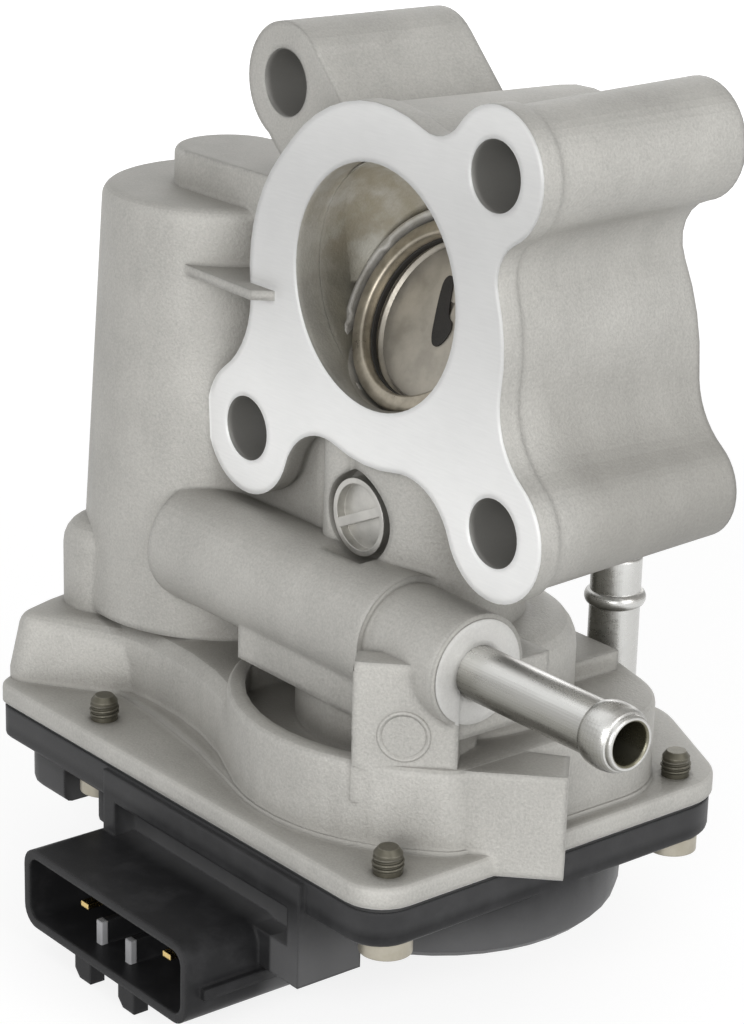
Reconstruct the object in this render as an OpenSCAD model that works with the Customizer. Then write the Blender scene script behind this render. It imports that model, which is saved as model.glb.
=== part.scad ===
// Exhaust gas recirculation valve: an oblique flap in a cast duct, turned by a geared motor,
// with a coolant gallery beside the shaft and a plastic gear cover that carries the connector.
// Origin: centre of the gas bore in the front flange face. +Y runs along the duct, +Z is up.

/* [Gas duct] */
// Length of the duct between its flange faces
duct_len = 37.5; // [36:0.5:39]
// Radius of the gas bore at the front face
front_bore_r = 17; // [16.5:0.25:17.5]
// Radius of the gas bore at the rear face
rear_bore_r = 16.5; // [16:0.25:17]
// Depth of the machined rim of the front flange
rim_t = 3.2; // [2.4:0.2:4]
// Radius of the four flange bolt holes
bolt_r = 4.75; // [4.3:0.05:5]

/* [Flap and seat] */
// Tilt of the flap and its seat from upright
flap_tilt = 27.3; // [26.5:0.1:28]
// Height of the flap centre
flap_z = -7; // [-7.5:0.1:-6.5]
// Radius of the flap disc
disc_r = 11.2; // [10.8:0.05:11.2]
// Thickness of the flap disc
disc_t = 1.6; // [1.2:0.1:1.8]
// Outer radius of the ring in the edge of the flap
ring_r = 11.44; // [11.4:0.01:11.45]
// Bore radius of the seat nozzle
seat_r = 11.5; // [11.49:0.01:11.6]
// Outer radius of the seat nozzle
nozzle_r = 14.4; // [14:0.1:14.6]

/* [Valve shaft] */
// Distance of the shaft axis behind the front face
shaft_y = 13.3; // [13:0.1:13.6]
// Radius of the valve shaft
shaft_r = 3.5; // [3.3:0.05:3.5]
// Radius of the cast neck round the shaft
neck_r = 12.5; // [12:0.25:13]
// Radius of the drum under the neck
drum_r = 20; // [19:0.25:20.5]

/* [Motor tower] */
// Position of the motor axis to the left of the gas bore
motor_x = -52; // [-52.1:0.05:-51.9]
// Distance of the motor axis behind the front face
motor_y = 14.4; // [14.2:0.1:14.6]
// Radius of the motor tower
tower_r = 19.2; // [18.5:0.1:19.8]
// Height of the tower top
tower_top = 2.9; // [2:0.1:3.4]
// Radius of the motor can
can_r = 14.4; // [13.8:0.1:14.6]

/* [Gears] */
// Size of one tooth: pitch diameter over tooth count
gear_module = 0.8; // [0.8:0.1:0.8]
// Teeth of the motor pinion
pinion_teeth = 12; // [12:1:12]
// Teeth of the large intermediate wheel
wheel_teeth = 44; // [44:1:44]
// Teeth of the small intermediate wheel
small_teeth = 15; // [15:1:15]
// Teeth that a full circle of the sector would have
sector_teeth = 60; // [60:1:60]
// Turn of the valve from shut to open
valve_turn = 80; // [60:5:85]

/* [Base and cover] */
// Underside of the base plate
plate_bottom = -76; // [-76.2:0.1:-75.8]
// Thickness of the base plate
plate_t = 3; // [2.6:0.1:3.4]
// Thickness of the cover gasket
gasket_t = 0.8; // [0.6:0.1:1]
// Depth of the cover band below the gasket
cover_band = 5.2; // [5:0.1:5.6]
// Lowest point of the round bulge in the cover
bulge_bottom = -90.6; // [-91.2:0.1:-90]
// Wall of the plastic cover
cover_wall = 1.6; // [1.4:0.1:1.8]

/* [Connector] */
// Width of the connector mouth
socket_w = 40.8; // [40:0.2:41.6]
// Height of the connector mouth
socket_h = 12.4; // [12:0.2:12.8]
// Wall round the connector mouth
socket_wall = 1.35; // [1.2:0.05:1.5]
// Depth of the connector cavity
socket_depth = 16; // [14:0.5:17]

/* [Coolant pipes] */
// Outer radius of the coolant pipes
pipe_r = 3.8; // [3.6:0.05:3.8]
// Wall of the coolant pipes
pipe_wall = 0.9; // [0.7:0.05:1.1]
// Radius over the swaged bead
bead_r = 4.6; // [4.4:0.05:4.8]
// Height of the gallery axis
gallery_z = -47.4; // [-47.6:0.1:-47.2]

/* [Hidden] */
$fn = 64;
// Radial gap left round a pressed piece, and round a running one
press_gap = 0.02;
run_gap = 0.05;
// Largest angle between two points of a sampled arc, on a wide one and on a tight one
arc_deg = [8, 15];
shaft_at = [0, shaft_y];
motor_at = [motor_x, motor_y];
flap_at = [0, shaft_y, flap_z];
plate_top = plate_bottom + plate_t;
cover_top = plate_bottom - gasket_t;
cover_floor = cover_top - cover_band;
cavity_top = -71;
bulge_floor = bulge_bottom + cover_wall;

// Flange bolts: lower and upper right, lower left, and the set-back upper left
bolts = [[23.8, 19.8], [26, -27.3], [-27.9, -26.9], [-27.5, 22.7]];
top_left = bolts[3];
top_left_y = [5.75, 34.3];

// Outlines are rings of circles [x, y, r] in anticlockwise order; a fillet radius of 0
// between two of them means a straight tangent line.
front_ring = [[23.8, 19.8, 9.1], [0, 0, 25.1], [-3.3, -2.5, 24.4], [-27.9, -26.9, 9.7],
    [0, 0, 25.2], [26, -27.3, 9.5], [2, -4, 24.8]];
rear_ring = [[22.6, 20.3, 8.4], [0, 0, 23.6], [-3.3, -2.5, 22.2], [-27.9, -26.9, 7.5],
    [0, 0, 23], [26, -27.3, 7.6], [-6.4, -12, 31.5]];
duct_fillets = [6, 0, 14, 9, 10, 12, 6];

case_ring = [[motor_x, motor_y, 22.6], [0, shaft_y, 29.8], [20.5, -1.6, 5],
    [12, 27, 13.5], [0, shaft_y, 29.8]];
case_fillets = [56, 0, 0, 0, 0];
foot_fillets = [150, 0, 0, 0, 0];
dome_ring = [[0, shaft_y, 29.8], [20.5, -1.6, 5], [12, 27, 13.5]];
plate_ring = [[-60.7, -17.3, 3.6], [22.5, -14.4, 6], [18.4, 39, 9.5], [3.5, 45, 10.5],
    [-69.5, 32.5, 5.5], [motor_x, motor_y, 23.5]];
cover_screw_at = [[-41.4, -15.8], [23.7, -14.2], [23.3, 39.7], [-24, 44.8], [-69.5, 32.5]];

// Gear train
pressure_angle = 20;
tooth_out = 0.75 * gear_module;
tooth_in = 0.95 * gear_module;
tooth_play = 0.09;
pinion_reach = gear_module * (pinion_teeth + wheel_teeth) / 2;
sector_reach = gear_module * (small_teeth + sector_teeth) / 2;
axis_gap = norm(motor_at - shaft_at);
idler_along = (sector_reach ^ 2 - pinion_reach ^ 2 + axis_gap ^ 2) / (2 * axis_gap);
idler_aside = sqrt(sector_reach ^ 2 - idler_along ^ 2);
to_motor = (motor_at - shaft_at) / axis_gap;
idler_at = shaft_at + idler_along * to_motor + idler_aside * [to_motor[1], -to_motor[0]];
wheel_z = [-79.5, -76.5];
small_z = [-85, -79.5];
sector_z = [-84.5, -80.5];
pinion_z = [-80, -75.2];

// Bearing, bush, seal and spring along the shaft
bearing_z = [-71, -65];
bearing_r = 9.5;
ball_ring_r = 6.5;
ball_r = 1.6;
bush_z = [-36, -24];
bush_r = 5;
seal_z = [-42, -37.5];
seal_r = 6;
spring_z = [-79, -74.5];
spring_r = 8.5;
spring_wire = 0.65;
spring_turns = 3;

// Motor
motor_z = [-71, -4];
magnet_r = 11.4;
rotor_r = 10.9;
motor_shaft_r = 1.6;
ear_r = 17.2;

// Gallery, plug and pipes
gallery_r = 9;
pipe_socket = 10;
front_bead = [3.3, 2.5];
pipe_tip_x = 53.7;
gallery_end_x = 24;
rear_pipe_at = [3.5, 45];
rear_boss_top = -71;
rear_socket = 3.6;
rear_pipe_top = -46;
rear_bead = [6.6, 1.1];
plug_at = [-3.2, -33.6];
plug_r = 5.55;
plug_y = 1;

// Connector
socket_at = [-16, -93.05];
mouth_y = -33.3;

cast = [0.72, 0.72, 0.70];
steel = [0.76, 0.77, 0.78];
zinc = [0.80, 0.80, 0.76];
dark_steel = [0.30, 0.30, 0.31];
brass = [0.80, 0.66, 0.36];
black = [0.10, 0.10, 0.11];
nylon = [0.88, 0.86, 0.80];
copper = [0.72, 0.42, 0.26];

// ---- helpers: outlines, lofts and gears

function dir(a) = [cos(a), sin(a)];
function xy(c) = [c[0], c[1]];
function ang(v) = atan2(v[1], v[0]);
function turn_of(a) = a - 360 * floor(a / 360);
function mean(range) = (range[0] + range[1]) / 2;

// Centre of the hollow fillet of radius f that touches circles a and b from outside
function fillet_at(a, b, f) =
    let (v = xy(b) - xy(a), d = norm(v), u = v / d, p = a[2] + f, q = b[2] + f)
    let (s = (p * p - q * q + d * d) / (2 * d))
    xy(a) + s * u + sqrt(p * p - s * s) * [u[1], -u[0]];

// Angles at which the outline leaves circle a and arrives on circle b
function leave(a, b, f) = f > 0
    ? ang(fillet_at(a, b, f) - xy(a))
    : ang(xy(b) - xy(a)) - acos((a[2] - b[2]) / norm(xy(b) - xy(a)));
function arrive(a, b, f) = f > 0 ? ang(fillet_at(a, b, f) - xy(b)) : leave(a, b, 0);

// Spans of each circle's arc and of the fillet after it
function spans(c, f) = [for (i = [0 : len(c) - 1])
    let (n = len(c), before = c[(i + n - 1) % n], after = c[(i + 1) % n])
    let (start = arrive(before, c[i], f[(i + n - 1) % n]), end = leave(c[i], after, f[i]))
    [turn_of(end - start), f[i] > 0 ? turn_of(end - arrive(c[i], after, f[i])) : 0]];
function arc_steps(span, r) = max(1, ceil(span / arc_deg[r < 8 ? 1 : 0] - 0.01));

// Points of an outline drawn in by inset. The count depends on the circles in like alone, so
// that outlines with the same like can be lofted.
function outline(c, f, inset = 0, like = []) =
    let (s = spans(c, f), n = len(c), model = len(like) > 0 ? like : c, count = spans(model, f))
    [for (i = [0 : n - 1])
        let (after = c[(i + 1) % n], start = leave(c[i], after, f[i]) - s[i][0])
        let (k = arc_steps(count[i][0], model[i][2]), m = arc_steps(count[i][1], f[i]))
        each concat(
            [for (j = [0 : k]) xy(c[i]) + (c[i][2] - inset) * dir(start + s[i][0] * j / k)],
            f[i] > 0 ? [for (j = [1 : 1 : m - 1])
                fillet_at(c[i], after, f[i]) + (f[i] + inset)
                    * dir(start + s[i][0] + 180 - s[i][1] * j / m)] : [])];
function straight(c) = [for (i = c) 0];

// Triangles that fill an anticlockwise outline, cut off it one clear corner at a time
function side_of(a, b, p) = (b[0] - a[0]) * (p[1] - a[1]) - (b[1] - a[1]) * (p[0] - a[0]);
function corner(ring, i) = let (n = len(ring)) [for (k = [n - 1 : n + 1]) ring[(i + k) % n]];
function is_clear(points, ring, t) =
    let (a = points[t[0]], b = points[t[1]], c = points[t[2]])
    side_of(a, b, c) > 0 && len([for (k = ring) let (p = points[k])
        if (k != t[0] && k != t[1] && k != t[2] && side_of(a, b, p) >= 0
            && side_of(b, c, p) >= 0 && side_of(c, a, p) >= 0) k]) == 0;
function clear_corner(points, ring, i = 0) =
    i >= len(ring) - 1 || is_clear(points, ring, corner(ring, i))
        ? i : clear_corner(points, ring, i + 1);
function filled(points, ring, done = []) = len(ring) < 3 ? done :
    let (i = clear_corner(points, ring))
    filled(points, [for (k = [0 : len(ring) - 1]) if (k != i) ring[k]],
        concat(done, [corner(ring, i)]));

// Solid through outlines of equal length, one at each height
module loft(rings, heights) {
    n = len(rings[0]);
    last = len(rings) - 1;
    every = [for (j = [0 : n - 1]) j];
    polyhedron(
        points = [for (i = [0 : last]) for (p = rings[i]) [p[0], p[1], heights[i]]],
        faces = concat(
            filled(rings[0], every),
            [for (i = [0 : last - 1]) for (j = [0 : n - 1])
                [i * n + j, (i + 1) * n + j, (i + 1) * n + (j + 1) % n, i * n + (j + 1) % n]],
            [for (t = filled(rings[last], every)) last * n * [1, 1, 1] + [t[2], t[1], t[0]]]));
}

// Block with its top edge rounded (grow = 1) or its bottom edge (grow = -1)
module rounded_block(c, f, z0, z1, round, inset = 0, grow = 1) {
    angles = [0, 30, 60, 90];
    draws = [for (a = angles) inset + round * (1 - cos(a))];
    edge = [for (a = angles) grow > 0 ? z1 - round * (1 - sin(a)) : z0 + round * (1 - sin(a))];
    if (grow > 0) {
        loft([outline(c, f, inset), for (d = draws) outline(c, f, d)], [z0, each edge]);
    } else {
        loft([for (i = [3 : -1 : 0]) outline(c, f, draws[i]), outline(c, f, inset)],
            [for (i = [3 : -1 : 0]) edge[i], z1]);
    }
}

// Stands a flat shape up so that it fills y0 to y1
module on_y(y0, y1) {
    translate([0, y1, 0]) rotate([90, 0, 0]) linear_extrude(y1 - y0) children();
}

module on_z(z0, z1) {
    translate([0, 0, z0]) linear_extrude(z1 - z0) children();
}

module rod(at, r, z0, z1) {
    translate([at[0], at[1], z0]) cylinder(r = r, h = z1 - z0);
}

module rod_y(at, r, y0, y1) {
    translate([at[0], y1, at[1]]) rotate([90, 0, 0]) cylinder(r = r, h = y1 - y0);
}

module rod_x(at, r, x0, x1) {
    translate([x0, at[0], at[1]]) rotate([0, 90, 0]) cylinder(r = r, h = x1 - x0);
}

module tube(at, outer, inner, z0, z1) {
    difference() {
        rod(at, outer, z0, z1);
        rod(at, inner, z0 - 1, z1 + 1);
    }
}

module box(low, high) {
    translate(low) cube(high - low);
}

// Turned post with a rounded top edge, wider by flare at its foot
module domed_post(at, r, z0, z1, round, flare = 0) {
    translate([at[0], at[1], 0]) rotate_extrude($fn = 96) polygon([[0, z0], [r + flare, z0],
        for (a = [0 : 15 : 90]) [r - round * (1 - cos(a)), z1 - round * (1 - sin(a))],
        [0, z1]]);
}

// Places children on the flap centre, with local +Z along the tilted gas flow
module on_flap() {
    translate(flap_at) rotate([-90 - flap_tilt, 0, 0]) children();
}

function involute(r, base) = r > base ? tan(acos(base / r)) * 180 / PI - acos(base / r) : 0;

// One tooth centred on angle 0, from root to root
function tooth(teeth) =
    let (pitch = gear_module * teeth / 2, base = pitch * cos(pressure_angle))
    let (root = pitch - tooth_in, tip = pitch + tooth_out, foot = max(root, base))
    let (half = 90 / teeth - tooth_play / 2 / pitch * 180 / PI + involute(pitch, base))
    let (radii = [root, for (i = [0 : 4]) foot + 0.001 + (tip - foot - 0.001) * i / 4])
    concat(
        [for (r = radii) r * dir(involute(r, base) - half)],
        [for (i = [5 : -1 : 0]) radii[i] * dir(half - involute(radii[i], base))]);
function turned(points, a) =
    [for (p = points) [p[0] * cos(a) - p[1] * sin(a), p[0] * sin(a) + p[1] * cos(a)]];
function gear_points(teeth, first, last, phase) =
    [for (k = [first : last]) each turned(tooth(teeth), phase + k * 360 / teeth)];

module wheel(teeth, phase) {
    polygon(gear_points(teeth, 0, teeth - 1, phase));
}

// ---- cast housing

// Duct body between the flanges, drawn in towards the rear, with the set-back upper left lobe
module duct_body() {
    rotate([90, 0, 0]) loft(
        [outline(rear_ring, duct_fillets, 0, front_ring),
            for (draw = [0.7, 0, 0]) outline(front_ring, duct_fillets, draw)],
        [-duct_len, -rim_t - 0.6, -rim_t, 0]);
    translate([top_left[0], top_left_y[1], top_left[1]]) rotate([90, 0, 0])
        cylinder(r1 = 8.4, r2 = 8.6, h = top_left_y[1] - top_left_y[0]);
    on_y(top_left_y[0], top_left_y[1])
        polygon([[-21.5, 28.6], [-13.4, 20.4], [-4, 4], [-14, 0], [-23, 7], [-33.6, 17.2],
            [-27.5, 22.7]]);
}

// Gas way: two bores, machined at the ports, that leave an inclined wall for the seat nozzle
module gas_way() {
    wall = [-2.2, 1.5];
    port_depth = [4, 5];
    difference() {
        union() {
            rod_y([0, 0], front_bore_r, -1, port_depth[0]);
            rod_y([0, 0], front_bore_r - 0.2, port_depth[0] - 0.1, shaft_y + 6);
            rod_y([0, 0], rear_bore_r - 0.2, shaft_y + 5.9, duct_len);
            rod_y([0, 0], rear_bore_r, duct_len - port_depth[1], duct_len + 1);
        }
        on_flap() box([-30, -30, wall[0]], [30, 30, wall[1]]);
    }
    on_flap() {
        translate([0, 0, -16]) cylinder(r = nozzle_r + press_gap, h = 16 + wall[1] + 0.2);
        sphere(r = ring_r + 0.5);
    }
}

// Bores for the shaft, its bush, seal and bearing
module shaft_bores() {
    rod(shaft_at, shaft_r + 0.5, -72, flap_z);
    rod(shaft_at, bush_r + press_gap, bush_z[0], bush_z[1]);
    rod(shaft_at, bush_r + 0.5, seal_z[1], bush_z[0]);
    rod(shaft_at, seal_r + press_gap, seal_z[0], seal_z[1]);
    rod(shaft_at, seal_r + 0.4, bearing_z[1], seal_z[0]);
    rod(shaft_at, bearing_r + press_gap, plate_bottom - 1, bearing_z[1]);
    rod(shaft_at, bearing_r + 0.8, -72.3, -71.1);
}

module motor_tower() {
    cap_r = 8.4;
    cap_top = tower_top + 5.7;
    domed_post(motor_at, tower_r, -62, tower_top, 2, 3.4);
    domed_post(motor_at, cap_r, tower_top - 1, cap_top, 1.2);
    box([motor_x, motor_y - cap_r, tower_top - 1.2], [-20, motor_y + cap_r, cap_top]);
    on_z(-6.6, -5.2) polygon([[-52, 4], [-45, -1.6], [-24, -2.6], [-20, 2], [-20, 12]]);
    domed_post([-60.5, -1.8], 7.2, -66, -48.7, 4.5);
}

// Round case over the gears, its motor side, and the swollen left corner
module gear_case() {
    rounded_block(case_ring, case_fillets, plate_bottom, -62, 4.5);
    rounded_block(dome_ring, straight(dome_ring), plate_bottom, -60.6, 1);
    hull() {
        domed_post([-54.5, 11], 20, plate_bottom, -63, 6, $fn = 32);
        domed_post([-62.4, -13.8], 3, plate_bottom, -62.6, 2.6, $fn = 32);
        rod([-62.2, -15.3], 3.3, plate_bottom, -71.5, $fn = 32);
        domed_post([-64.2, -8.6], 3.6, plate_bottom, -62.8, 3, $fn = 32);
    }
}

// Shallow channel between the case rim and the drum, under the gallery
module case_trench() {
    intersection() {
        on_z(-64.4, -59) polygon(outline(dome_ring, straight(dome_ring), 2.6));
        box([-21, -30, -80], [13, 6, -50]);
    }
}

// Raised face at 45 degrees that carries the ear and the ejector mark
module diagonal_face() {
    translate([27.7, 0, 0]) rotate([90, 0, 45]) difference() {
        translate([0, 0, -4]) linear_extrude(4.05)
            polygon([[-18.8, -46], [-4.6, -46], [-4.6, -63.4], [-9, -65.8], [-16.4, -61.8],
                [-18.8, -61]]);
        translate([-11.9, -56.4, -0.35]) cylinder(r = 3.4, h = 1);
    }
}

module ear() {
    on_z(plate_bottom, -60.8)
        polygon([[21.5, -6.1], [34.2, 6.5], [34.95, 7.3], [34.3, 8], [29.9, 12.3],
            [16.5, 2]]);
}

module gallery_block() {
    rod_x([0, gallery_z], gallery_r, -40, 9.5);
    rod_x([0, gallery_z], gallery_r - 0.9, 9, gallery_end_x);
    rod_x([0, gallery_z], gallery_r - 1.6, gallery_end_x - 0.5, gallery_end_x + 0.25);
    box([-20, 2 - gallery_r, -58.2], [11, 12, gallery_z]);
    on_z(-56.7, gallery_z) polygon([[9, -8.2], [13, -12.3], [14.3, -13.4], [24, -3.6],
        [24, 13], [9, 13]]);
    on_z(-66.5, -56) polygon([[10, -8.5], [14.2, -13.3], [22.8, -4.8], [20, 4], [10, 4]]);
}

module neck() {
    rod(shaft_at, neck_r, -49, -16);
    domed_post(shaft_at, drum_r, plate_bottom, -48, 5);
    rod([-9.6, 5.2], 4.2, -49, -22);
    on_z(-49, -24) polygon([[-38, 4.6], [-17.4, 4.6], [-17.4, 9.5], [-38, 9.5]]);
    rod([-17.4, 7.05], 2.45, -49, -24);
    on_z(-49, -20) polygon([[-40, 15], [0, 15], [0, 20], [-40, 20]]);
    rod_y(plug_at, 8.6, plug_y + 1.2, 12);
}

// Low boss of the rear pipe and the gusset that stands in front of it
module rear_boss() {
    domed_post(rear_pipe_at, 6.2, plate_bottom, rear_boss_top, 1);
    box([-6, 26, plate_bottom], [11, 39, -57.6]);
}

module base_plate() {
    rounded_block(plate_ring, straight(plate_ring), plate_bottom, plate_top, 0.9);
    on_z(plate_bottom, plate_top + 0.6) polygon(outline(case_ring, foot_fillets, -0.3));
}

module valve_housing() {
    color(cast) difference() {
        union() {
            duct_body();
            motor_tower();
            difference() {
                gear_case();
                case_trench();
            }
            neck();
            gallery_block();
            diagonal_face();
            ear();
            base_plate();
            rear_boss();
        }
        gas_way();
        shaft_bores();
        for (at = bolts) rod_y(at, bolt_r, -1, duct_len + 1);
        difference() {
            on_z(plate_bottom - 1, cavity_top) polygon(outline(case_ring, case_fillets, 2.6));
            rod(shaft_at, 12.4, -73.4, cavity_top + 1);
            rod(shaft_at + 12.6 * dir(-60), 1.6, -75.6, cavity_top + 1);
            rod(idler_at, 4.4, -75.8, cavity_top + 1);
        }
        rod(motor_at, can_r + press_gap, cavity_top - 1, motor_z[1]);
        rod(motor_at, 9.5, motor_z[1] - 1, motor_z[1] + 0.6);
        for (side = [-1, 1]) rod(motor_at + [0, side * ear_r], 1.25, cavity_top - 1, -64);
        rod(idler_at, 2 + press_gap, plate_bottom, -65);
        rod_x([0, gallery_z], 2.8, -30, gallery_end_x);
        rod_x([0, gallery_z], pipe_r + press_gap, gallery_end_x - pipe_socket,
            gallery_end_x + 1);
        rod(rear_pipe_at, pipe_r + press_gap, rear_boss_top - rear_socket, rear_boss_top + 1);
        rod_y(plug_at, plug_r + 1.1, plug_y - 3, plug_y + 3);
        rod_y(plug_at, plug_r + press_gap, plug_y, plug_y + 6);
        for (at = cover_screw_at) rod(at, 2 + press_gap, plate_bottom - 1, plate_top + 1);
    }
}

// ---- flap, seat and shaft

module seat_nozzle() {
    color(steel) on_flap() rotate_extrude($fn = 96) polygon([[seat_r, 1.6], [nozzle_r, 1.6],
        [nozzle_r, -2.2], [nozzle_r - 0.6, -2.8], [12.6, -2.8], [12.5, -0.9], [12.1, -0.9],
        [seat_r, -0.3]]);
}

module valve_disc() {
    color(steel) on_flap() difference() {
        translate([0, 0, -disc_t / 2]) cylinder(r = disc_r, h = disc_t, $fn = 96);
        rotate_extrude($fn = 96) polygon([[10, -0.5], [12, -0.5], [12, 0.5], [10, 0.5]]);
        translate([-0.7, -3, -disc_t / 2 - 0.5]) cube([1.4, 6, 1.1]);
    }
}

module piston_ring() {
    color(dark_steel) on_flap() rotate_extrude($fn = 96)
        polygon([[10.1, -0.46], [ring_r - 0.02, -0.46], [ring_r, -0.2], [ring_r, 0.2],
            [ring_r - 0.02, 0.46], [10.1, 0.46]]);
}

module valve_shaft() {
    color(steel) intersection() {
        union() {
            rod(shaft_at, shaft_r, -80.3, 4);
            rod(shaft_at, shaft_r - 0.5, -85, -80.2);
        }
        on_flap() box([-90, -90, disc_t / 2], [90, 90, 120]);
    }
}

module shaft_bush() {
    color(dark_steel) tube(shaft_at, bush_r, shaft_r + run_gap, bush_z[0], bush_z[1]);
}

module shaft_seal() {
    color(black) translate([0, shaft_y, 0]) rotate_extrude($fn = 96)
        polygon([[seal_r, seal_z[0]], [seal_r, seal_z[1]], [5, seal_z[1]], [4.7, -38.6],
            [shaft_r + run_gap, -39.6], [shaft_r + run_gap, -40], [4.7, -40.6],
            [5, seal_z[0]]]);
}

module bearing_race(inner, outer) {
    translate([0, shaft_y, 0]) rotate_extrude($fn = 96) difference() {
        polygon([[inner, bearing_z[0]], [outer, bearing_z[0]], [outer, bearing_z[1]],
            [inner, bearing_z[1]]]);
        translate([ball_ring_r, mean(bearing_z)]) circle(r = ball_r + run_gap);
    }
}

module bearing_outer_race() {
    color(steel) bearing_race(7.4, bearing_r);
}

module bearing_inner_race() {
    color(steel) bearing_race(shaft_r + press_gap, 5.5);
}

module bearing_balls() {
    color(steel) translate([0, shaft_y, mean(bearing_z)])
        for (k = [0 : 7]) rotate(k * 45) translate([ball_ring_r, 0, 0]) sphere(r = ball_r);
}

module bearing_circlip() {
    color(dark_steel) difference() {
        tube(shaft_at, bearing_r + 0.7, bearing_r - 1.2, -72.2, -71.2);
        box([-2, shaft_y - 15, -73], [2, shaft_y, -70]);
    }
}

// Coil of round wire with a radial leg at its upper end
module return_spring() {
    around = 10;
    per_turn = 24;
    n = spring_turns * per_turn;
    color(dark_steel) translate([0, shaft_y, 0]) {
        polyhedron(
            points = [for (i = [0 : n]) for (k = [0 : around - 1])
                let (a = -60 - i * 360 / per_turn, b = k * 360 / around)
                let (r = spring_r + spring_wire * cos(b))
                [r * cos(a), r * sin(a), spring_z[1] + (spring_z[0] - spring_z[1]) * i / n
                    + spring_wire * sin(b)]],
            faces = concat(
                [[for (k = [0 : around - 1]) k]],
                [for (i = [0 : n - 1]) for (k = [0 : around - 1])
                    [i * around + k, (i + 1) * around + k,
                        (i + 1) * around + (k + 1) % around, i * around + (k + 1) % around]],
                [[for (k = [around - 1 : -1 : 0]) n * around + k]]));
        rotate(-60) translate([spring_r, 0, spring_z[1]]) rotate([0, 90, 0])
            cylinder(r = spring_wire, h = 2.2);
    }
}

module spring_guide() {
    color(nylon) tube(shaft_at, 7.3, shaft_r + press_gap, -80.3, -73.7);
}

// Toothed sector on the shaft, with lightening windows in its web
module sector_gear() {
    facing = ang(idler_at - shaft_at);
    first = -floor((valve_turn + 9) / 6);
    rim = gear_module * sector_teeth / 2 - tooth_in;
    start = facing + 3 + first * 6;
    color(nylon) translate([0, shaft_y, 0]) difference() {
        union() {
            on_z(sector_z[0], sector_z[1]) polygon(concat([[0, 0]],
                gear_points(sector_teeth, first, 1, facing + 3)));
            rod([0, 0], 8, sector_z[0], sector_z[1]);
        }
        rod([0, 0], shaft_r - 0.5 + press_gap, sector_z[0] - 1, sector_z[1] + 1);
        rod([0, 0], 6.5 + press_gap, sector_z[0] - 1, sector_z[0] + 1.2);
        for (k = [0 : 2]) rotate(start + 18 + k * 28)
            on_z(sector_z[0] - 1, sector_z[1] + 1)
                polygon([[11, -2.4], [rim - 3.4, -4], [rim - 3.4, 4], [11, 2.4]]);
    }
}

module sensor_magnet() {
    color(dark_steel) tube(shaft_at, 6.5, shaft_r + 0.3, sector_z[0] - 0.9, sector_z[0] + 1.1);
}

module hall_sensor() {
    color(black) box([-2.6, shaft_y - 2, bulge_floor], [2.6, shaft_y + 2, bulge_floor + 2.4]);
    color(black) for (k = [-1 : 1]) box([k * 1.3 - 0.25, shaft_y + 2, bulge_floor],
        [k * 1.3 + 0.25, shaft_y + 4.5, bulge_floor + 0.3]);
}

// ---- gear drive

module intermediate_gear() {
    to_motor_angle = ang(motor_at - idler_at);
    to_shaft_angle = ang(shaft_at - idler_at);
    color(nylon) translate([idler_at[0], idler_at[1], 0]) difference() {
        union() {
            on_z(wheel_z[0], wheel_z[1])
                wheel(wheel_teeth, to_motor_angle + 180 / wheel_teeth);
            on_z(small_z[0], small_z[1]) wheel(small_teeth, to_shaft_angle);
        }
        rod([0, 0], 2 + run_gap, small_z[0] - 1, wheel_z[1] + 1);
        for (k = [0 : 5]) rotate(k * 60 + 30)
            translate([11.6, 0, wheel_z[0] - 1]) cylinder(r = 3.2, h = 5, $fn = 32);
    }
}

module intermediate_pin() {
    color(steel) rod(idler_at, 2, bulge_floor + 0.3, -65.2);
}

module motor_pinion() {
    color(brass) translate([motor_x, motor_y, 0]) difference() {
        on_z(pinion_z[0], pinion_z[1]) wheel(pinion_teeth, ang(idler_at - motor_at));
        rod([0, 0], motor_shaft_r + press_gap, pinion_z[0] - 1, pinion_z[1] + 1);
    }
}

// ---- motor

module motor_shaft() {
    color(steel) rod(motor_at, motor_shaft_r, pinion_z[0] - 0.2, motor_z[1] - 0.6);
}

// Slotted rotor stack, its windings and the commutator
module motor_armature() {
    color(copper) translate([motor_x, motor_y, 0]) difference() {
        union() {
            rod([0, 0], rotor_r, -52, -16);
            rod([0, 0], 9, -56, -11);
            rod([0, 0], 4.2, -66, -55);
        }
        for (k = [0 : 4]) rotate(k * 72) box([6.8, -0.9, -53], [12, 0.9, -15]);
        for (k = [0 : 4]) rotate(k * 72 + 36) box([3.7, -0.2, -67], [5, 0.2, -58]);
        rod([0, 0], motor_shaft_r + press_gap, -70, -8);
    }
}

module motor_can() {
    color(steel) translate([motor_x, motor_y, 0]) difference() {
        rod([0, 0], can_r, motor_z[0], motor_z[1]);
        rod([0, 0], can_r - 0.8, motor_z[0] - 1, motor_z[1] - 0.9);
        rod([0, 0], 3.6 + press_gap, motor_z[1] - 2, motor_z[1] + 1);
    }
}

module motor_magnets() {
    color(dark_steel) translate([motor_x, motor_y, 0]) difference() {
        rod([0, 0], can_r - 0.8 - press_gap, -54, -14);
        rod([0, 0], magnet_r, -55, -13);
        for (side = [-1, 1]) box([-4, side > 0 ? 0 : -16, -55], [4, side > 0 ? 16 : 0, -13]);
    }
}

module motor_end_plate() {
    color(steel) translate([motor_x, motor_y, 0]) difference() {
        union() {
            rod([0, 0], can_r - 0.3, -73, cavity_top);
            for (side = [-1, 1]) {
                rod([0, side * ear_r], 2.4, -73, cavity_top);
                box([-2.4, side > 0 ? 0 : -ear_r, -73], [2.4, side > 0 ? ear_r : 0, cavity_top]);
            }
            rod([0, 0], 5, -74.6, cavity_top);
        }
        rod([0, 0], 3.6 + press_gap, -75, -70);
        for (side = [-1, 1]) rod([0, side * ear_r], 1.6, -74, -70);
        box([-13, -4.4, -74], [-8, 4.4, -70]);
    }
}

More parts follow.
